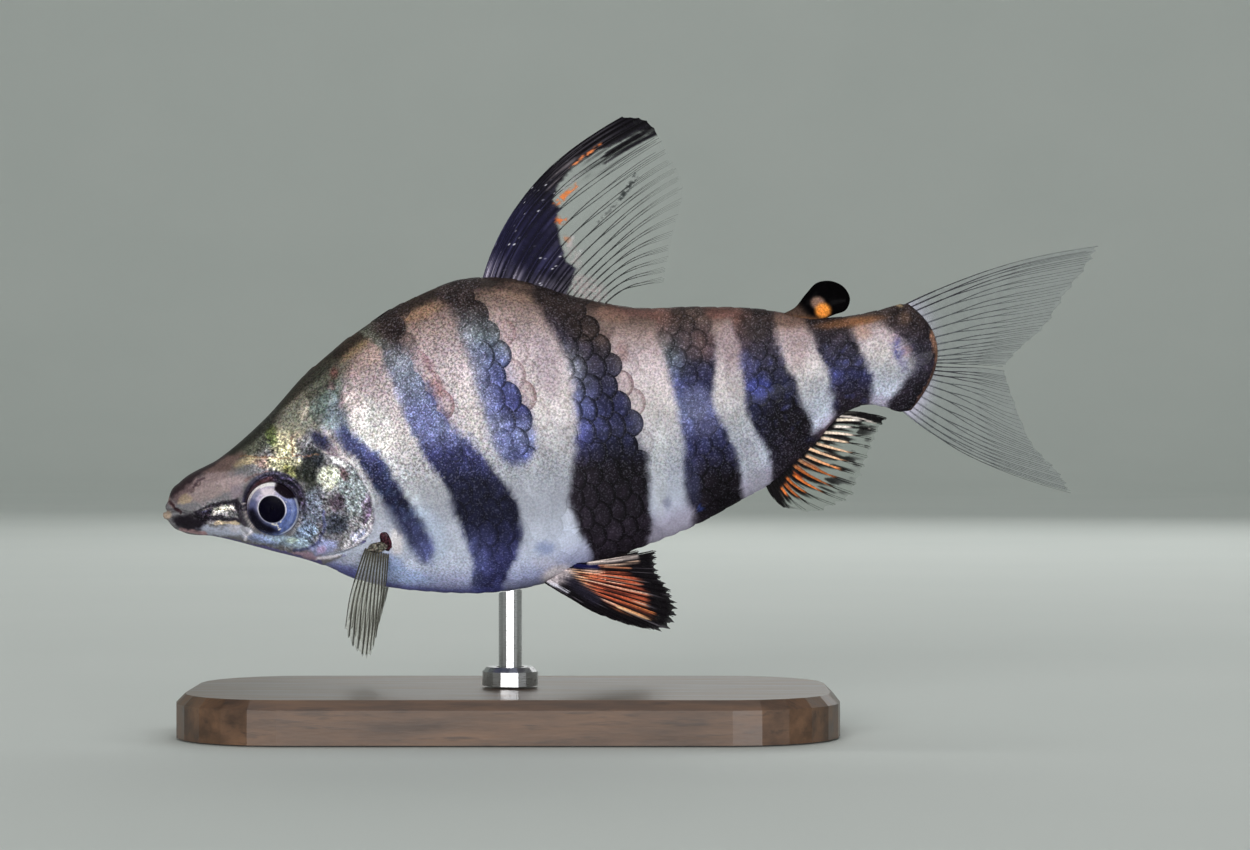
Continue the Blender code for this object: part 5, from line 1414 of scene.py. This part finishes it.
def anal_paint(points, shares, t, ray, between):
    """Pale rays, orange below, that end in points between black streaks, and dashes in the clear margin."""
    u, v = fin_place(points)
    rays = FIN_FORMS["anal_fin"]["rays"]
    phase = (shares / ray_spacing(rays) - RAY_INSET) % 1.0
    lobe = fall(0.12, 0.19, shares + 0.10 * t)
    warm = smoothstep(446, 474, v)
    light = blend(plain((242, 232, 224), len(u)), (236, 128, 62), warm)
    light = blend(light, (240, 180, 130), 0.6 * smoothstep(424, 450, v) * (1 - warm))
    light = blend(light, (206, 86, 58), 0.6 * smoothstep(492, 504, v))
    streak = noise(shares * 150, t * 4, 1.0, 33)
    light = blend(light, (250, 226, 190), 0.4 * smoothstep(0.1, 0.8, streak))
    reach = 0.13 * np.sin(shares * 91) + 0.09 * np.sin(shares * 47)
    white = np.zeros(len(u))
    for line in ANAL_LINES:
        white = np.maximum(white, fall(0.5, 1.3, path_distance(u, v, line)))
    top = smoothstep(0.90, 0.94, shares)
    dash = smoothstep(0.12, 0.45, noise(shares * 44, t * 4.2, 1.0, 17)) * fall(0.86, 0.99, t)
    black = plain((13, 11, 13), len(u))
    if ray is not None:
        start = 0.03 + 0.14 * fall(0.2, 0.5, shares) + 0.05 * np.sin(shares * 61)
        lit = smoothstep(start, start + 0.08, t) * fall(0.50, 0.66, t + reach) * (1 - lobe)
        vary = noise(shares * 9, np.zeros(len(u)), 1.0, 42)
        vary = smoothstep(0.1, 0.6, vary) * fall(0.58, 0.66, shares)
        lit = lit * (1 - 0.35 * vary) * (0.15 if ray == rays - 1 else 1.0)
        faint = smoothstep(0.60, 0.76, t + reach) * (1 - 0.85 * dash) * (1 - top)
        rgb = blend(blend(black, light, lit), (70, 80, 70), 0.6 * faint)
        rgb = blend(rgb, (240, 228, 220), 0.9 * white)
        return rgb, np.clip(0.97 - 0.75 * faint, 0.14, 0.97)
    edge = 0.05 + 0.12 * fall(0.2, 0.5, shares)
    foot = fall(edge, edge + 0.13, t)
    below = smoothstep(0.30, 0.50, phase) * fall(0.88, 1.0, phase)
    inner = np.maximum(foot, below * fall(0.40, 0.62, t + reach))
    solid = np.maximum(np.maximum(inner, dash), np.maximum(lobe, top))
    rgb = blend(plain((112, 124, 112), len(u)), (15, 13, 15), solid)
    alpha = np.maximum(0.12 + 0.84 * inner, 0.75 * dash * (1 - 0.5 * smoothstep(0.7, 0.9, t)))
    orange = warm * smoothstep(edge, edge + 0.08, t) * fall(0.30, 0.50, t + reach)
    orange = orange * (1 - below) * (1 - lobe)
    rgb = blend(rgb, (196, 90, 44), 0.85 * orange)
    alpha = np.maximum(alpha, 0.9 * orange)
    pale = (1 - warm) * top * smoothstep(0.05, 0.15, t) * fall(0.5, 0.8, t) * fall(0.1, 0.4, between)
    rgb = blend(rgb, (238, 226, 218), np.maximum(0.8 * pale, 0.9 * white * np.maximum(lobe, top)))
    return rgb, np.maximum(alpha, 0.97 * np.maximum(lobe, top))


PELVIC_ORANGE = [
    (566, 571), (584, 569.5), (604, 570.5), (630, 574), (641, 582), (648, 600), (654, 618), (640, 617),
    (622, 612), (604, 601), (588, 590), (572, 578),
]
PELVIC_MARKS = [  # path, width, colour, strength, and how far noise breaks it
    # the next two are painted highlights, white streaks at the root
    ([(541, 576), (548, 580), (555, 584)], 4.4, (226, 224, 236), 0.95, 0.7),
    ([(552, 583), (560, 588), (568, 592)], 2.2, (226, 224, 236), 0.95, 0.8),
    ([(576, 566), (586, 566.5), (598, 567)], 3.2, (24, 24, 74), 0.9, 0.3),
    # a painted highlight along the upper edge
    ([(590, 563), (606, 561), (622, 558.5), (636, 556.5)], 3.2, (240, 222, 214), 0.98, 0.45),
    ([(606, 566), (622, 564), (638, 562)], 2.0, (226, 190, 166), 0.9, 0.7),
    ([(600, 566.5), (616, 567.5), (630, 569)], 1.4, (226, 150, 112), 0.8, 0.9),
    ([(570, 580), (582, 590), (596, 600)], 7.5, (36, 33, 46), 0.9, 0.3),
    ([(618, 607), (634, 613), (648, 619)], 1.5, (250, 206, 160), 0.9, 0.5),
]


def pelvic_paint(points, shares, t, ray, between):
    """Black, with rays that are cream at the root and orange in the middle, all drawn in fine lines, with
    painted highlights as pale streaks along the rays, at the root and along the upper edge.
    """
    u, v = fin_place(points)
    ragged = 3.0 * noise(u, v, 5, 15) + 5.0 * noise(shares * 60, t * 1.5, 1.0, 34)
    orange = smoothstep(-3.0, 3.0, inside(u + ragged, v + 0.4 * ragged, PELVIC_ORANGE))
    gap = 0.0 if ray is not None else smoothstep(0.45, 0.95, between)
    fine = noise(shares * 78, t * 4, 1.0, 26)
    rgb = plain((16, 13, 17), len(u))
    # Painted highlights: grey streaks along the black rays.
    rgb = blend(rgb, (112, 106, 114), 0.65 * smoothstep(0.45, 0.85, fine))
    tone = plain((222, 108, 74), len(u))
    tone = blend(tone, (226, 172, 124), fall(572, 604, u))
    tone = blend(tone, (240, 150, 84), 0.7 * smoothstep(598, 612, v) * smoothstep(600, 625, u))
    # Painted highlights: pale streaks along the orange rays.
    tone = blend(tone, (246, 208, 184), 0.8 * smoothstep(0.1, 0.65, fine))
    tone = blend(tone, (84, 36, 32), 0.85 * smoothstep(0.12, 0.6, -fine))
    if ray is None:
        tone = tone * 0.8
    rgb = rgb + (tone - rgb) * (0.96 * orange * (1 - 0.85 * gap))[..., None]
    for path, width, colour, strength, broken in PELVIC_MARKS:
        near = fall(0.3 * width, 1.2 * width, path_distance(u, v + 0.8 * fine, path))
        near = near * (1 - broken * smoothstep(-0.5, 0.5, -fine))
        rgb = blend(rgb, colour, strength * near)
    root = fall(0.03, 0.17, t + 0.04 * fine) * smoothstep(0.06, 0.16, shares) * fall(0.72, 0.86, shares)
    speckle = (1 + 0.22 * noise(u, v, 1.5, 35))[:, None]
    rgb = rgb + (np.array((204, 192, 196), float) * speckle - rgb) * (0.85 * root)[:, None]
    rgb = blend(rgb, (10, 8, 10), 0.95 * fall(0.02, 0.07, shares))
    if ray is not None:
        return rgb, np.full(len(u), 0.98)
    return rgb, 0.96 - 0.3 * smoothstep(0.88, 1.0, t)


def tail_paint(points, shares, t, ray, between):
    foot = fall(0.04, 0.24, t)
    if ray is not None:
        leading = 1.0 if ray < 3 else 0.0
        rgb = plain((78, 82, 84), len(t))
        rgb = blend(rgb, (46, 44, 52), leading * fall(0.3, 0.8, t))
        rgb = blend(rgb, (176, 172, 192), 0.5 * foot * (1 - leading))
        return rgb, 0.80 - (0.45 - 0.2 * leading) * smoothstep(0.35, 1.0, t)
    rgb = plain((124, 129, 130), len(t))
    rgb = blend(rgb, (196, 192, 212), foot)
    return rgb, 0.20 + 0.04 * t + 0.50 * foot**1.3


def pectoral_paint(points, shares, t, ray, between):
    foot = fall(0.02, 0.16, t)
    u, v = fin_place(points)
    speckled = (1 + 0.5 * noise(u, v, 1.6, 18))[:, None]
    if ray is not None:
        rgb = plain((62, 61, 56), len(t))
        rgb = blend(rgb, np.array((80, 76, 66)) * speckled, 0.7 * foot)
        return rgb, (0.94 - 0.2 * smoothstep(0.7, 1.0, t)) * smoothstep(-0.02, 0.05, t)
    pale = smoothstep(0.5, 0.95, between)
    rgb = blend(plain((128, 130, 120), len(t)), (184, 186, 176), 0.7 * pale)
    rgb = blend(rgb, np.array((84, 82, 80)) * speckled, 0.85 * foot)
    return rgb, (0.24 + 0.30 * foot) * smoothstep(0.0, 0.08, t)


FIN_FORMS = {
    "dorsal_fin": dict(
        rays=18, forks=(0.40, 0.66), spread=0.55, radius=0.125, taper=0.5, flat=1.0, joints=30, core=0.35,
        steps=26, ragged=0.004, notch=0.006, seed=31, plain_rays=3, wave=0.16, web_rows=130),
    "anal_fin": dict(
        rays=16, forks=(0.60,), spread=0.40, radius=0.22, taper=0.70, flat=1.15, joints=16, core=0.1,
        steps=18, ragged=0.03, notch=0.05, seed=32, plain_rays=2),
    "tail_fin_upper": dict(
        rays=12, forks=(0.24, 0.50), spread=0.88, radius=0.105, taper=0.5, flat=1.1, joints=34, core=0.5,
        steps=24, ragged=0.012, notch=0.02, seed=33, wave=0.12),
    "tail_fin_lower": dict(
        rays=11, forks=(0.24, 0.50), spread=0.88, radius=0.105, taper=0.5, flat=1.1, joints=32, core=0.5,
        steps=24, ragged=0.012, notch=0.02, seed=34, wave=0.12),
    "pectoral_fin": dict(
        rays=11, forks=(0.5,), spread=0.35, radius=0.10, taper=0.35, flat=1.1, joints=18, core=0.4,
        steps=20, ragged=0.02, notch=0.035, seed=35, wave=0.2),
    "pelvic_fin": dict(
        rays=20, forks=(0.10, 0.42), spread=0.88, radius=0.125, taper=0.45, flat=1.1, joints=20, core=0.3,
        steps=18, ragged=0.035, notch=0.05, seed=36),
}


def build_fin(node, guides, form, materials, paint):
    rays = build_rays(node + "_rays", guides, form, materials[0], paint)
    web = build_membrane(node + "_web", guides, form, materials[1], paint)
    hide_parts(node)
    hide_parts(node)


def build_lobes(word, side, material):
    """The fleshy base of a pectoral fin."""
    rings, turns = 25, 40
    down = np.linspace(0.04, math.pi - 0.04, rings)
    turn = 2 * math.pi * np.arange(turns) / turns
    d, a = np.meshgrid(down, turn, indexing="ij")
    lump = 1 + 0.04 * np.sin(5 * a) * np.sin(d)
    local = [np.sin(d) * np.cos(a) * lump, np.sin(d) * np.sin(a) * lump, np.cos(d)]
    for part, ((s, h, y), radii, tone) in PECTORAL_LOBES.items():
        offsets = sum((c * r)[..., None] * axis for c, r, axis in zip(local, radii, skin_frame(s, h, side)))
        points = (np.array([s, h, side * y]) + offsets).reshape(-1, 3)
        faces = tube_faces(rings, turns)
        u, v = fin_place(points)
        rgb = np.array(tone, float) * (1 + 0.75 * noise(u, v, 1.3, 19))[:, None]
        # Grain, the strength of painted glints, and roughness.
        finish_and_glints = np.tile([0.9, 0.3, 0.4], (len(points), 1))
        lobe = make_piece(f"pectoral_{part}_{word}", points, faces, material, rgb, finish_and_glints)
        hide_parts(f"pectoral_fin_{word}")


def around(points, count):
    """A smooth closed curve through the points, given again as count points."""
    wrapped = [*points[-3:], *points, *points[:3]]
    steps = np.linalg.norm(np.diff(np.array(wrapped, float), axis=0), axis=1)
    lengths = np.concatenate([[0], np.cumsum(steps)])
    places = np.linspace(lengths[3], lengths[3 + len(points)], count, endpoint=False)
    lines = [smooth_line(list(zip(lengths, values))) for values in zip(*wrapped)]
    return np.stack([line(places) for line in lines], axis=-1)


def build_adipose(material):
    outline = around(ADIPOSE_OUTLINE, 120)
    shares = np.concatenate([[0.02], np.linspace(0.08, 1, 36)])
    centre = np.array(ADIPOSE_CENTRE)
    places = centre + (outline[None] - centre) * shares[:, None, None]
    half = ADIPOSE_RIM * np.sqrt(np.clip((1 - shares) / 0.1, 0, 1)) * 0.9
    half = half + (ADIPOSE_HALF_THICKNESS - ADIPOSE_RIM) * np.sqrt(1 - shares**2)
    half = np.broadcast_to(half[:, None], places.shape[:2])
    front = np.concatenate([places, half[..., None]], axis=-1)
    rear = np.concatenate([places, -half[..., None]], axis=-1)[:-1][::-1]
    rows = np.concatenate([front, rear])
    points = rows.reshape(-1, 3)
    faces = tube_faces(len(rows), len(outline))
    u, v = fin_place(points)
    rgb = plain((5, 4, 5), len(points))
    root = fall(-3, 10, (u - 800) - (v - 310) * 0.9)
    rgb = blend(rgb, (84, 66, 58), 0.85 * root)
    rgb = blend(rgb, (118, 80, 54), 0.8 * smoothstep(313, 321, v))
    rgb = blend(rgb, (150, 118, 104), 0.85 * patch_mask(u, v, (818, 303, 8, 7, 20)))
    rgb = blend(rgb, (238, 146, 62), 0.97 * patch_mask(u, v, (823, 310.5, 8.5, 8, 0)))
    finish_and_glints = np.tile([0.5, 0.0, 0.8], (len(points), 1))
    adipose = make_piece("adipose", points, faces, material, rgb, finish_and_glints)
    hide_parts("adipose_fin")


# Materials

class Nodes:
    """A short way to write a material's nodes."""

    def __init__(self, name):
        self.material = bpy.data.materials.new(name)
        self.material.use_nodes = True
        self.tree = self.material.node_tree
        self.shader = self.tree.nodes["Principled BSDF"]
        self.output = self.tree.nodes["Material Output"]

    def add(self, kind, inputs=None, **settings):
        node = self.tree.nodes.new(kind)
        for key, value in settings.items():
            setattr(node, key, value)
        for key, value in (inputs or {}).items():
            self.put(node.inputs[key], value)
        return node

    def put(self, socket, value):
        if isinstance(value, bpy.types.NodeSocket):
            self.tree.links.new(value, socket)
        else:
            socket.default_value = value

    def attribute(self, name, output="Color"):
        return self.add("ShaderNodeAttribute", attribute_name=name).outputs[output]

    def noise(self, scale, detail=2.0, roughness=0.6, vector=None):
        place = vector or self.place()
        inputs = {"Vector": place, "Scale": scale, "Detail": detail, "Roughness": roughness}
        return self.add("ShaderNodeTexNoise", inputs).outputs["Fac"]

    def place(self):
        if not hasattr(self, "coordinates"):
            self.coordinates = self.add("ShaderNodeTexCoord").outputs["Object"]
        return self.coordinates

    def mapped(self, **settings):
        """Places in the object, moved or stretched."""
        return self.add("ShaderNodeMapping", {"Vector": self.place(), **settings}).outputs[0]

    def vector(self, x, y, z):
        return self.add("ShaderNodeCombineXYZ", {"X": x, "Y": y, "Z": z}).outputs[0]

    def flecked(self, fleck):
        """The painted colour times a number."""
        inputs = {0: self.attribute("paint"), 1: self.vector(fleck, fleck, fleck)}
        return self.add("ShaderNodeVectorMath", inputs, operation="MULTIPLY").outputs[0]

    def ranged(self, value, low, high, to_low, to_high):
        inputs = {"Value": value, "From Min": low, "From Max": high, "To Min": to_low, "To Max": to_high}
        return self.add("ShaderNodeMapRange", inputs).outputs["Result"]

    def math(self, operation, a, b, c=None):
        node = self.add("ShaderNodeMath", operation=operation)
        self.put(node.inputs[0], a)
        self.put(node.inputs[1], b)
        if c is not None:
            self.put(node.inputs[2], c)
        return node.outputs[0]

    def mixed(self, factor, a, b, how="MIX"):
        node = self.add("ShaderNodeMix", data_type="RGBA", blend_type=how)
        self.put(node.inputs["Factor"], factor)
        self.put(node.inputs["A"], a)
        self.put(node.inputs["B"], b)
        return node.outputs["Result"]

    def bump(self, height, strength, distance):
        inputs = {"Height": height, "Strength": strength, "Distance": distance}
        self.put(self.shader.inputs["Normal"], self.add("ShaderNodeBump", inputs).outputs["Normal"])

    def set(self, **values):
        for key, value in values.items():
            self.put(self.shader.inputs[key.replace("_", " ")], value)


def skin_material(name, coat):
    """Wet scaled skin: painted colour under a fine silvery glitter, and painted glints, bright specks of
    highlight laid into the base colour, in the dark marks.
    """
    n = Nodes(name)
    paint = n.attribute("paint")
    parts = n.add("ShaderNodeSeparateXYZ", {"Vector": n.attribute("finish_and_glints", "Vector")}).outputs
    factor = n.ranged(n.noise(3700, 1.5, 0.7), 0.36, 0.64, -1.0, 1.0)
    swing = n.math("MULTIPLY", factor, n.math("MULTIPLY", parts["X"], 0.58))
    # Painted glints: noise specks that brighten and lift the base colour where the second channel allows, in
    # place of highlights.
    glints = n.ranged(n.noise(4300, 1.0, 0.5, n.mapped(Location=(0.31, 0.17, 0.23))), 0.55, 0.68, 0.0, 1.0)
    glints = n.math("MULTIPLY", glints, parts["Y"])
    gain = n.math("ADD", n.math("ADD", swing, 1.0), n.math("MULTIPLY", glints, 1.6))
    lift = n.math("MULTIPLY", glints, 0.05)
    lift = n.vector(lift, lift, n.math("MULTIPLY", lift, 1.25))
    inputs = {0: paint, 1: n.vector(gain, gain, gain), 2: lift}
    scaled = n.add("ShaderNodeVectorMath", inputs, operation="MULTIPLY_ADD").outputs[0]
    tint = n.add("ShaderNodeTexNoise", {"Vector": n.place(), "Scale": 2600.0, "Detail": 1.0}).outputs["Color"]
    tinted = n.mixed(n.math("MULTIPLY", parts["X"], 0.2), scaled, tint, "OVERLAY")
    n.set(Base_Color=tinted, Metallic=0.04, Coat_Weight=coat, Coat_Roughness=0.12)
    n.set(Specular_IOR_Level=2 * coat)
    n.set(Roughness=n.math("ADD", parts["Z"], n.math("MULTIPLY", factor, 0.05)))
    n.bump(n.noise(4200, 2.0, 0.6), 0.25, 0.00006)
    return n.material


def ray_material():
    n = Nodes("fin_ray")
    fleck = n.ranged(n.noise(3600, 1.5, 0.6), 0.36, 0.64, 0.72, 1.3)
    paint = n.flecked(fleck)
    n.set(Base_Color=paint, Roughness=0.5, Alpha=n.attribute("clearness", "Fac"), Specular_IOR_Level=0.08)
    n.bump(n.noise(2200, 2.0, 0.6), 0.2, 0.00005)
    return n.material


def web_material():
    n = Nodes("fin_web")
    fleck = n.ranged(n.noise(1900, 3.0, 0.6), 0.3, 0.7, 0.84, 1.16)
    paint = n.flecked(fleck)
    uneven = n.ranged(n.noise(1300), 0.3, 0.7, 0.9, 1.1)
    alpha = n.math("MULTIPLY", n.attribute("clearness", "Fac"), uneven)
    n.set(Base_Color=paint, Roughness=0.55, Alpha=alpha, Specular_IOR_Level=0.04)
    return n.material


def eye_material():
    n = Nodes("eye_iris")
    paint = n.flecked(n.ranged(n.noise(2400, 3.0, 0.65), 0.3, 0.7, 0.86, 1.14))
    n.set(Base_Color=paint, Roughness=0.45, Specular_IOR_Level=0.05)
    return n.material


def cornea_material():
    """A clear film over the eye that only shows its gloss."""
    n = Nodes("eye_film")
    clear = n.add("ShaderNodeBsdfTransparent").outputs[0]
    n.set(Base_Color=(0.004, 0.004, 0.006, 1.0), Roughness=0.04, Specular_IOR_Level=0.5)
    film = n.add("ShaderNodeLayerWeight", {"Blend": 0.12}).outputs["Fresnel"]
    factor = n.ranged(film, 0.0, 1.0, 0.008, 0.4)
    blended = n.add("ShaderNodeMixShader", {0: factor, 1: clear, 2: n.shader.outputs[0]})
    n.tree.links.new(blended.outputs[0], n.output.inputs["Surface"])
    return n.material


def wood_material():
    n = Nodes("stained_wood")
    rings = n.noise(55, 6.0, 0.6, n.mapped(Scale=(1.0, 9.0, 6.0)))
    pores = n.noise(900, 3.0, 0.7, n.mapped(Scale=(0.12, 1.0, 1.0)))
    grain = n.ranged(rings, 0.35, 0.65, 0.0, 1.0)
    tone = n.mixed(grain, (0.050, 0.024, 0.012, 1), (0.135, 0.068, 0.034, 1))
    tone = n.mixed(n.ranged(pores, 0.56, 0.72, 0.0, 0.7), tone, (0.020, 0.010, 0.006, 1))
    n.set(Base_Color=tone, Roughness=n.ranged(rings, 0.3, 0.7, 0.34, 0.48))
    n.set(Coat_Weight=0.25, Coat_Roughness=0.25)
    n.bump(pores, 0.3, 0.00008)
    return n.material


def steel_material():
    n = Nodes("brushed_steel")
    lines = n.noise(900, 3.0, 0.6, n.mapped(Scale=(1.0, 1.0, 18.0)))
    tone = n.mixed(lines, (0.42, 0.42, 0.43, 1), (0.68, 0.68, 0.69, 1))
    n.set(Base_Color=tone, Metallic=1.0, Roughness=n.ranged(lines, 0.3, 0.7, 0.24, 0.38))
    n.bump(lines, 0.15, 0.00003)
    return n.material


def floor_material():
    n = Nodes("pale_floor")
    tone = n.mixed(n.noise(9, 3.0, 0.5), (0.62, 0.66, 0.63, 1), (0.68, 0.71, 0.68, 1))
    n.set(Base_Color=tone, Roughness=0.85)
    return n.material


# Stage

def build_stage(material):
    """A round floor that sweeps up into a backdrop, so that it is behind the fish in every view."""
    reach, curve, height = 2.4, 0.7, 2.2
    profile = [(0.0, 0.0), (0.5, 0.0), (1.0, 0.0), (reach - curve, 0.0)]
    for turn in np.radians(np.linspace(0, 90, 13)[1:]):
        profile.append((reach - curve + curve * math.sin(turn), curve * (1 - math.cos(turn))))
    profile.append((reach, height))
    turns = 64
    points = [
        (r * math.cos(a), r * math.sin(a), z - 0.0002)
        for r, z in profile[1:] for a in 2 * math.pi * np.arange(turns) / turns
    ]
    faces = grid_faces(len(profile) - 1, turns, closed=True)[:, ::-1].tolist()
    faces.append(list(range(turns)))
    mesh = bpy.data.meshes.new("floor")
    mesh.from_pydata(points, [], faces)
    mesh.materials.append(material)
    mesh.shade_smooth()
    floor = add_object("floor", mesh)


def add_light(name, place, target, size, power, colour):
    light = bpy.data.lights.new(name, "AREA")
    light.shape = "RECTANGLE"
    light.size, light.size_y = size
    light.energy = power
    light.color = colour
    obj = add_object(name, light)
    obj.location = place
    direction = unit(np.array(target) - np.array(place))
    obj.rotation_euler = Vector(direction).to_track_quat("-Z", "Y").to_euler()


def build_camera():
    camera = bpy.data.cameras.new("camera")
    camera.lens = LENS
    camera.sensor_width = SENSOR
    camera.sensor_fit = "HORIZONTAL"
    camera.clip_start = 0.01
    camera.clip_end = 20
    obj = add_object("camera", camera)
    obj.location = [c * MM for c in CAMERA_PLACE]
    obj.rotation_euler = (math.pi / 2, 0, 0)
    bpy.context.scene.camera = obj


def build_light():
    target = (0.015, 0, 0.045)
    add_light("key", (-0.28, -1.05, 0.24), target, (0.45, 0.4), 6.9, (1.0, 0.985, 0.97))
    add_light("fill", (0.42, -1.0, 0.08), target, (0.4, 0.12), 4.2, (0.96, 0.98, 1.0))
    add_light("top", (0.0, 0.1, 0.9), target, (0.8, 0.5), 1.6, (1.0, 1.0, 1.0))
    add_light("back", (0.2, 0.8, 0.5), target, (0.7, 0.5), 2.0, (1.0, 1.0, 1.0))
    add_light("backdrop", (0.0, 0.9, 1.9), (0.0, 2.4, 0.6), (1.2, 0.6), 9.0, (0.98, 1.0, 0.98))
    world = bpy.data.worlds.new("world")
    world.use_nodes = True
    background = world.node_tree.nodes["Background"].inputs
    background["Color"].default_value = (0.80, 0.84, 0.86, 1.0)
    background["Strength"].default_value = 0.16
    bpy.context.scene.world = world
    bpy.context.scene.view_settings.view_transform = "Standard"


def main():
    build_camera()
    build_light()
    skin = skin_material("fish_skin", 0.03)
    fin = ray_material(), web_material()
    build_skin(skin)
    build_coat("scales_left", -1, skin)
    build_coat("scales_right", 1, skin)
    iris, film = eye_material(), cornea_material()
    for side, word in ((-1, "left"), (1, "right")):
        build_eye(word, side, iris, film)
        guides = placed_guides(PECTORAL_GUIDES, side, RIGHT_PECTORAL_SWING)
        build_fin(f"pectoral_fin_{word}", guides, FIN_FORMS["pectoral_fin"], fin, pectoral_paint)
        build_lobes(word, side, skin)
        guides = placed_guides(PELVIC_GUIDES, side, RIGHT_PELVIC_SWING)
        build_fin(f"pelvic_fin_{word}", guides, FIN_FORMS["pelvic_fin"], fin, pelvic_paint)
    for name, guides, slot, paint in (
        ("dorsal_fin", DORSAL_GUIDES, "dark_fin", dorsal_paint),
        ("anal_fin", ANAL_GUIDES, "orange_fin", anal_paint),
        ("tail_fin_upper", TAIL_UPPER_GUIDES, "clear_fin", tail_paint),
        ("tail_fin_lower", TAIL_LOWER_GUIDES, "clear_fin", tail_paint),
    ):
        build_fin(name, guides, FIN_FORMS[name], fin, paint)
    build_adipose(skin_material("adipose_skin", 0.005))
    wood, steel = wood_material(), steel_material()
    for node, material in (("stand_base", wood), ("stand_rod", steel), ("stand_collar", steel)):
        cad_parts[node].material_slots[0].material = material
    build_stage(floor_material())


main()
